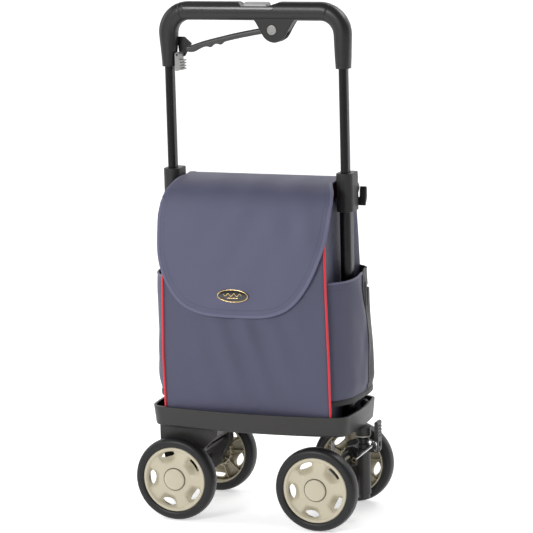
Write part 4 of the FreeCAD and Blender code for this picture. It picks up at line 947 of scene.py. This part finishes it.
def make_pocket(name, side):
    """Side pocket: one wall round the post from the bag's near corner to its far edge, with a floor.

    The wall is blue up to the seam column and black beyond it; both are turned in at the top.
    """
    sizes = bpy.context.scene.trolley_sizes
    split, last_column = 84, 140
    height = POCKET_TOP_Z - POCKET_FOOT_Z
    for part, first, last, slot, material, node_name in (
            ("pocket_cloth_", 0, split, "bag_fabric", "pocket_cloth", "side_pocket_"),
            ("gusset_cloth_", split, last_column, "gusset_fabric", "gusset_cloth", "pocket_gusset_")):
        wall = pocket_rows(side, first, last)
        count = last - first + 1
        home = np.stack([np.full(count, side * 0.1475), wall[0, :, 1], wall[0, :, 2]], -1)
        floor = home[None] + (wall[0] - home)[None] * np.linspace(0, 1, 6)[:-1, None, None]
        drops = np.array([0.0006, 0.004, 0.012, 0.022])[:, None, None]
        inner = wall[-1][None] - outwards(wall[-1])[None] * 0.0026 - np.array([0, 0, 1.0]) * drops
        grid = np.concatenate([floor, wall, inner])
        run = lengths(wall[30])
        up = np.concatenate([np.linspace(-0.05, -0.01, 5), np.linspace(0, height, 60),
                             height + drops.ravel()])
        uv = np.stack(np.broadcast_arrays(run[None], up[:, None]), -1)
        seam = np.stack(np.broadcast_arrays(run[None], np.abs(up[:, None] - height)), -1)
        build = Build().grid(grid, inside=(side * 0.16, 0, 0.33), uv=uv)
        piece = build.finish(part + name, extra_uv={"seam": seam.reshape(-1, 2)})
        thicken(piece, sizes.cloth, lining=True)
        place(piece, "chassis", slot, [MADE[material], MADE["lining"]], node_name + name)
        bake(piece)
    foot = pocket_rows(side, 0, last_column)[1] - np.array([0, 0, 0.0005])
    out = outwards(foot)
    upright = np.array([0.0, 0.0, 1.0])
    tape = sweep(foot + out * 0.0004, out, np.broadcast_to(upright, out.shape), oval(16, 0.0016, 0.0052, 3.2))
    add("pocket_binding_" + name, tape, "chassis", "gusset_fabric", "binding_black", **TUBE)
    # The pocket's hem takes the lighter binding cloth too, with its painted highlight.
    for part, first, last, material in (("pocket_hem_", 0, split, "binding_cloth_painted_highlight"),
                                        ("gusset_hem_", split, last_column, "binding_black")):
        hem = pocket_rows(side, first, last)[-1]
        out = outwards(hem)
        roll = sweep(hem - out * 0.0008, out, np.broadcast_to(upright, out.shape),
                     oval(14, 0.0019, 0.0019, 2.4))
        add(part + name, roll, "chassis", "bag_fabric", material, **TUBE)
    seam_line = pocket_rows(side, split, split + 1)[2:-1, 0]
    out = outwards(pocket_rows(side, split - 1, split + 1))[2:-1, 1]
    _, across, lift = frame_along(seam_line, (side, 0, 0))
    rib = sweep(seam_line + out * 0.0002, across, lift, oval(10, 0.0011, 0.0009))
    return add("pocket_seam_" + name, rib, "chassis", "gusset_fabric", "binding_black", **TUBE)


# ---------------------------------------------------------------- grip and lever

BAR_POWER = 2.5                 # superellipse power of the bar's section


def notch(x):
    """Depth of the saddle that the button stands in: steep at the left, a longer ramp at the right."""
    return 0.0080 * np.clip((x + 0.0270) / 0.0085, 0, 1) * np.clip((0.0510 - x) / 0.0200, 0, 1)


def make_button():
    """Push button: a crowned block that fills the saddle, its top on the bar's own curve.

    Section: |y| <= 9.5 mm, top = bar radius * (1 - |y / R|^2.5)^(1 / 2.5), edges eased at both ends.
    """
    x = np.concatenate([[-0.0155, -0.0153, -0.0146], np.linspace(-0.0135, 0.0250, 30),
                        [0.0261, 0.0268, 0.0270]])
    ease = np.concatenate([[0.0016, 0.0008, 0.0002], np.zeros(30), [0.0002, 0.0008, 0.0016]])[:, None]
    y = np.linspace(-0.0115, 0.0115, 31)[None]
    crown = BAR_R * (1 - np.abs(y / BAR_R) ** BAR_POWER) ** (1 / BAR_POWER) - 0.0006 - ease
    corner = 0.0012 * np.clip((np.abs(y) - 0.0095) / 0.0020, 0, 1) ** 2
    top = np.stack([x[:, None] + 0 * y, y + 0 * x[:, None], BAR_Z + crown - corner], -1)
    foot = top * [1, 1, 0] + [0, 0, BAR_Z + 0.0078]
    ring = np.concatenate([top, foot[:, ::-1]], 1)
    return add("button_cap", ring, "button", "button_plastic", "button_grey", "grip_button", sharp=40, **TUBE)


def make_grip():
    """Grip: a superellipse section swept up one leg, round two corners and down the other.

    Half width in the loop's plane: 12.5 mm at the leg's foot, 18.5 at the corner and 16.5 along the bar. The
    section is pinched by 0.6 mm at the joint lines, and the top is cut flat round the button.
    """
    radius, top, foot_z = 0.040, GRIP_HIGH.z, GRIP_LOW.z
    end, corner_z = POST_X - radius, BAR_Z - radius
    turn = np.linspace(0, math.pi / 2, 40)[1:-1]
    leg = np.stack([np.full(30, POST_X), np.linspace(foot_z, corner_z, 30)], -1)
    bend = np.stack([end + radius * np.cos(turn), corner_z + radius * np.sin(turn)], -1)
    right = np.concatenate([leg, bend, [[end, BAR_Z]]])
    line = resample(np.concatenate([right * [-1, 1], right[::-1]]), 640)
    path = np.stack([line[:, 0], 0 * line[:, 0], line[:, 1]], -1)
    _, side, lift = frame_along(path, (0, -1, 0))
    z, x = path[:, 2], path[:, 0]
    heights = [foot_z, 0.816, 0.860, BAR_Z - 0.004, BAR_Z]
    left_half = np.interp(z, heights, [0.0118, 0.0124, 0.0168, 0.0172, BAR_R])
    right_half = np.interp(z, heights, [0.0124, 0.0136, 0.0153, 0.0160, BAR_R])
    a = np.where(x < 0, left_half, right_half)
    a = running_mean(a, 31)
    b = np.interp(z, [foot_z, 0.840, BAR_Z], [0.0158, 0.0162, BAR_R])
    run = lengths(path)
    for joint in (-0.137, 0.137):
        spot = run[np.abs(x - joint).argmin()]
        pinch = 0.0007 * np.exp(-((run - spot) / 0.0009) ** 2)
        a, b = a - pinch, b - pinch
    section = oval(56, 1, 1, BAR_POWER)[None] * np.stack([a, b], -1)[:, None]
    grid = sweep(path, side, lift, section)
    cut = top - notch(grid[..., 0])
    level = np.where(grid[..., 2] > cut, cut, grid[..., 2])
    grid = np.concatenate([grid[..., :2], level[..., None]], -1)
    add("grip_body", grid, "handle", "grip_plastic", "grip_moulding", "grip", sharp=48, **TUBE)

    outline = np.array([(-0.006, 0.8900), (0.0035, 0.8845), (0.0120, 0.8710), (0.0230, 0.8530),
                        (0.0400, 0.8460), (0.0570, 0.8530), (0.0680, 0.8700), (0.0775, 0.8845),
                        (0.086, 0.8900)])
    lug = Build()
    for low_y, high_y in ((-0.0125, -0.0074), (0.0074, 0.0125)):
        plate(lug, curve(outline, 60), low_y, high_y, 0.0022)
    spine = curve([(0.0540, 0.8900), (0.0540, 0.8760), (0.0560, 0.8620), (0.0640, 0.8660), (0.0740, 0.8810),
                   (0.0830, 0.8900)], 40)
    plate(lug, spine, -0.0080, 0.0080, 0.0004)
    place(lug.finish("grip_lug", sharp=40), "handle", "grip_plastic", MADE["grip_moulding"])

    x = np.linspace(-0.132, 0.044, 120)
    ends = np.clip(np.minimum(x + 0.132, 0.044 - x) / 0.014, 0, 1)
    share = np.sqrt(1 - (1 - ends) ** 2)[:, None]
    middle_angle, half_angle = math.radians(52), math.radians(40)
    rows = np.linspace(-1, 1, 26)[None]
    angle = middle_angle + rows * half_angle * np.maximum(share, 0.03)
    lifted = BAR_R + 0.0006 * np.clip((1 - np.abs(rows)) * 14 * np.maximum(share, 0.03), 0, 1) * share ** 0.3
    c, s = np.sin(angle), np.cos(angle)
    scale = (np.abs(c) ** BAR_POWER + np.abs(s) ** BAR_POWER) ** (-1 / BAR_POWER)
    patch = np.stack([x[:, None] + 0 * angle, -lifted * scale * c, BAR_Z + lifted * scale * s], -1)
    cut = top + 0.0004 - notch(patch[..., 0])
    patch[..., 2] = np.minimum(patch[..., 2], cut)
    piece = Build().grid(patch, inside=(-0.05, 0, BAR_Z)).finish("grip_patch")
    thicken(piece, 0.0012)
    return place(piece, "handle", "inlay_rubber", MADE["grip_inlay"], "grip_inlay")


def plate(build, line, low_y, high_y, bevel):
    """A flat outline in XZ as a plate between two Y planes, with rounded edges, into a Build."""
    centre = line.mean(0)
    step = np.gradient(line, axis=0)
    out = unit(np.stack([step[:, 1], -step[:, 0]], -1))
    if ((line - centre) * out).sum() < 0:
        out = -out
    rows = []
    edge = [(0, 1.6), (0, 1), (0.3, 0.3), (1, 0)]
    for y, inset in ([(low_y + bevel * up, bevel * into) for up, into in edge]
                     + [(high_y - bevel * up, bevel * into) for up, into in reversed(edge)]):
        ring = line - out * inset
        rows.append(np.stack([ring[:, 0], np.full(len(ring), y), ring[:, 1]], -1))
    build.grid(np.stack(rows), wrap_cols=True, caps=True)


def make_lever():
    """Hand lever: an oval section swept from the pivot to the tip, with finger bumps on its underside.

    Underside: 5.5 mm below the line, plus 3.4 mm * exp(-((x - c) / 5 mm)^2) at each bump.
    """
    line = curve([(0.0470, 0.8700), (0.0370, 0.8690), (0.0100, 0.8650), (-0.0300, 0.8575), (-0.0650, 0.8495),
                  (-0.0950, 0.8420), (-0.1120, 0.8365), (-0.1220, 0.8335), (-0.1310, 0.8345)], 220)
    path = np.stack([line[:, 0], 0 * line[:, 0], line[:, 1]], -1)
    _, side, lift = frame_along(path, (0, 0, 1))
    x = path[:, 0]
    bumps = sum(0.0034 * np.exp(-((x - c) / 0.0050) ** 2) for c in (-0.0654, -0.0851))
    bumps = bumps + 0.0020 * np.exp(-((x + 0.1160) / 0.0090) ** 2)
    run = lengths(path)
    ends = np.sqrt(np.clip(1 - (1 - np.clip(np.minimum(run, run[-1] - run) / 0.0050, 0, 1)) ** 2, 0.02, 1))
    section = np.broadcast_to(oval(32, 0.0064, 0.0054, 2.8), (220, 32, 2)) * ends[:, None, None]
    down = np.clip(-section[..., 1] / 0.0054, 0, 1)
    section = np.stack([section[..., 0], section[..., 1] - down * bumps[:, None]], -1)
    grid = sweep(path, side, lift, section)
    return add("lever_blade", grid, "hand_lever", "lever_paint", "lever_paint", "brake_lever", sharp=50,
               **TUBE)


def make_spring():
    """Brake spring: a wire helix between the two ends of the CAD spring."""
    low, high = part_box("brake_spring")
    size = np.array(high - low)
    axis = int(size.argmax())
    wire, turns = 0.0007, 11
    radius = min(np.delete(size, axis)) / 2 - wire
    start, end = np.array((low + high) / 2), np.array((low + high) / 2)
    start[axis], end[axis] = low[axis] + wire, high[axis] - wire
    t = np.linspace(0, 1, 420)
    u, v = np.eye(3)[(axis + 1) % 3], np.eye(3)[(axis + 2) % 3]
    wave = 2 * math.pi * turns * t
    round_it = np.cos(wave)[:, None] * u + np.sin(wave)[:, None] * v
    path = start + (end - start) * t[:, None] + radius * round_it
    _, side, lift = frame_along(path, np.eye(3)[axis])
    body = frame["nodes"]["brake_spring"]["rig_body"]
    coil = sweep(path, side, lift, oval(8, wire, wire))
    return add("spring_coil", coil, body, "bright_steel", "bright_steel", "brake_spring", **TUBE)


# ---------------------------------------------------------------- finishes and stage

def make_finishes():
    """Every CAD node takes its slot's material; the materials of the new pieces are made here too."""
    colours = bpy.context.scene.trolley_colours
    table = finishes()
    # groove: the rim's plastic made dark brown, painted shade in the groove round the hub cap.
    moulding("groove", (0.10, 0.085, 0.06), 0.6)
    moulding("gold", tuple(colours.gold), 0.25, 900.0, 0.05, 0.1, 1.0)
    cloth("lining", tuple(colours.lining), 0.4)
    cloth("piping", tuple(colours.piping), 0.5, 0.1, 0.2)
    cloth("pocket_cloth", tuple(colours.bag), insets=(0.012,))
    # The binding cloth is the flap's colour made 1.25 times lighter: a painted highlight along the tape's
    # edge.
    cloth("binding_cloth_painted_highlight", tuple(c * 1.25 for c in colours.flap), 0.7, 0.12, 0.2, thread=0.0009)
    cloth("binding_black", (0.014, 0.014, 0.015), 0.7, 0.2, 0.1, thread=0.0009)
    for part in RECORD["subparts"]:
        node_object = frame["nodes"].get(part["node"])
        if node_object is not None and part.get("material_slot") in table:
            node_object.data.materials.clear()
            node_object.data.materials.append(table[part["material_slot"]])


def look_from(camera, target, azimuth, elevation, distance, roll):
    """Aims a camera at a target, from an azimuth (0 looks along +Y) and elevation, then rolls it."""
    a, e = math.radians(azimuth), math.radians(elevation)
    back = Vector((math.sin(a) * math.cos(e), -math.cos(a) * math.cos(e), math.sin(e)))
    right = Vector((math.cos(a), math.sin(a), 0))
    up = back.cross(right)
    c, s = math.cos(math.radians(roll)), math.sin(math.radians(roll))
    x, y = right * c - up * s, right * s + up * c
    turn = Matrix((x, y, back)).transposed().to_4x4()
    camera.matrix_world = Matrix.Translation(Vector(target) + back * distance) @ turn


def area_light(name, where, target, size, energy, colour=(1, 1, 1)):
    """A soft rectangular lamp aimed at a point."""
    lamp = bpy.data.lights.new(name, "AREA")
    lamp.shape, lamp.energy, lamp.color = "RECTANGLE", energy, colour
    lamp.size, lamp.size_y = size
    piece = bpy.data.objects.new(name, lamp)
    bpy.context.scene.collection.objects.link(piece)
    piece.location = where
    piece.rotation_euler = (Vector(target) - Vector(where)).to_track_quat("-Z", "Y").to_euler()
    return piece


def make_stage():
    """Pale floor, soft lamps, light world and the camera."""
    scene = bpy.context.scene
    turn = np.linspace(0, math.pi / 2, 24)
    bend = np.stack([3.0 + 1.5 * np.sin(turn), 1.5 - 1.5 * np.cos(turn)], -1)
    line = np.concatenate([[[-5.0, 0.0], [-2.0, 0.0], [1.0, 0.0]], bend, [[4.5, 5.0]]])
    x = np.linspace(-7, 7, 9)
    paper = np.stack([x[None] + 0 * line[:, :1], line[:, :1] + 0 * x, line[:, 1:] + 0 * x], -1)
    floor = Build().grid(paper, inside=(0, 4, -3)).finish("floor")
    material, _, shader = blank("floor_paper")
    shader.inputs["Base Color"].default_value = (0.93, 0.93, 0.93, 1)
    shader.inputs["Roughness"].default_value = 0.9
    shader.inputs["Emission Color"].default_value = (1, 1, 1, 1)
    shader.inputs["Emission Strength"].default_value = 0.50
    floor.data.materials.append(material)
    lamps = [area_light("key", (-0.9, -3.1, 1.9), (0, 0, 0.45), (1.3, 1.0), 62),
             area_light("side", (-2.6, -0.6, 1.4), (0, 0, 0.45), (0.9, 1.8), 20),
             area_light("rear", (1.2, 1.6, 2.4), (0, 0, 0.4), (1.6, 1.0), 26)]
    world = bpy.data.worlds.new("studio")
    scene.world = world
    world.use_nodes = True
    world.node_tree.nodes["Background"].inputs[0].default_value = (1.0, 1.0, 1.0, 1)
    world.node_tree.nodes["Background"].inputs[1].default_value = 0.35
    lens = bpy.data.cameras.new("camera")
    camera = bpy.data.objects.new("camera", lens)
    scene.collection.objects.link(camera)
    scene.camera = camera
    lens.lens, lens.sensor_width, lens.shift_x, lens.shift_y = 170.53, 36.0, 0.0107, -0.0032
    look_from(camera, (0, 0, 0.450), 21.411, 10.633, 4.4836, 1.524)
    scene.view_settings.view_transform = "Standard"


# ---------------------------------------------------------------- add-on

def operator(name, label, text, work):
    """An operator class that runs one piece's function."""

    def execute(self, context):
        work()
        return {"FINISHED"}

    return type("TROLLEY_OT_" + name, (bpy.types.Operator,), {
        "bl_idname": "trolley." + name, "bl_label": label, "__doc__": text, "execute": execute,
        "bl_options": {"REGISTER", "UNDO"}})


def all_wheels():
    for wheel in WHEELS:
        make_tyre(wheel)
        make_rim(wheel)


def all_pockets():
    for name, side in ENDS:
        make_pocket(name, side)


OPERATORS = [operator(*row) for row in (
    ("finishes", "Finishes", "Give every CAD node its material", make_finishes),
    ("wheels", "Wheels", "Make the tyres, rims and hub caps", all_wheels),
    ("bag", "Bag", "Make the bag's cloth", make_bag),
    ("piping", "Piping", "Make the red piping at the bag's corners", make_piping),
    ("pockets", "Side pockets", "Make the side pockets and their gussets", all_pockets),
    ("flap", "Flap", "Make the flap and its binding", make_flap),
    ("badge", "Badge", "Make the badge", make_badge),
    ("grip", "Grip", "Make the grip, its lug and its soft patch", make_grip),
    ("button", "Button", "Make the push button", make_button),
    ("lever", "Hand lever", "Make the hand lever", make_lever),
    ("spring", "Spring", "Make the brake spring", make_spring),
    ("stage", "Stage", "Make the floor, lamps and camera", make_stage))]


class TROLLEY_PT_panel(bpy.types.Panel):
    """Buttons and settings of the trolley."""
    bl_label = "Shopping trolley"
    bl_idname = "TROLLEY_PT_panel"
    bl_space_type = "VIEW_3D"
    bl_region_type = "UI"
    bl_category = "Trolley"

    def draw(self, context):
        for settings in (context.scene.trolley_sizes, context.scene.trolley_colours):
            for key in settings.__annotations__:
                self.layout.prop(settings, key)
        for made in OPERATORS:
            self.layout.operator(made.bl_idname)


CLASSES = [TrolleySizes, TrolleyColours, *OPERATORS, TROLLEY_PT_panel]


def register():
    for made in CLASSES:
        bpy.utils.register_class(made)
    bpy.types.Scene.trolley_sizes = bpy.props.PointerProperty(type=TrolleySizes)
    bpy.types.Scene.trolley_colours = bpy.props.PointerProperty(type=TrolleyColours)


def unregister():
    del bpy.types.Scene.trolley_sizes, bpy.types.Scene.trolley_colours
    for made in reversed(CLASSES):
        bpy.utils.unregister_class(made)


def main():
    """Runs every operator and writes the size before and after."""
    register()
    for made in OPERATORS:
        group_name, name = made.bl_idname.split(".")
        getattr(getattr(bpy.ops, group_name), name)()


if __name__ == "__main__":
    main()
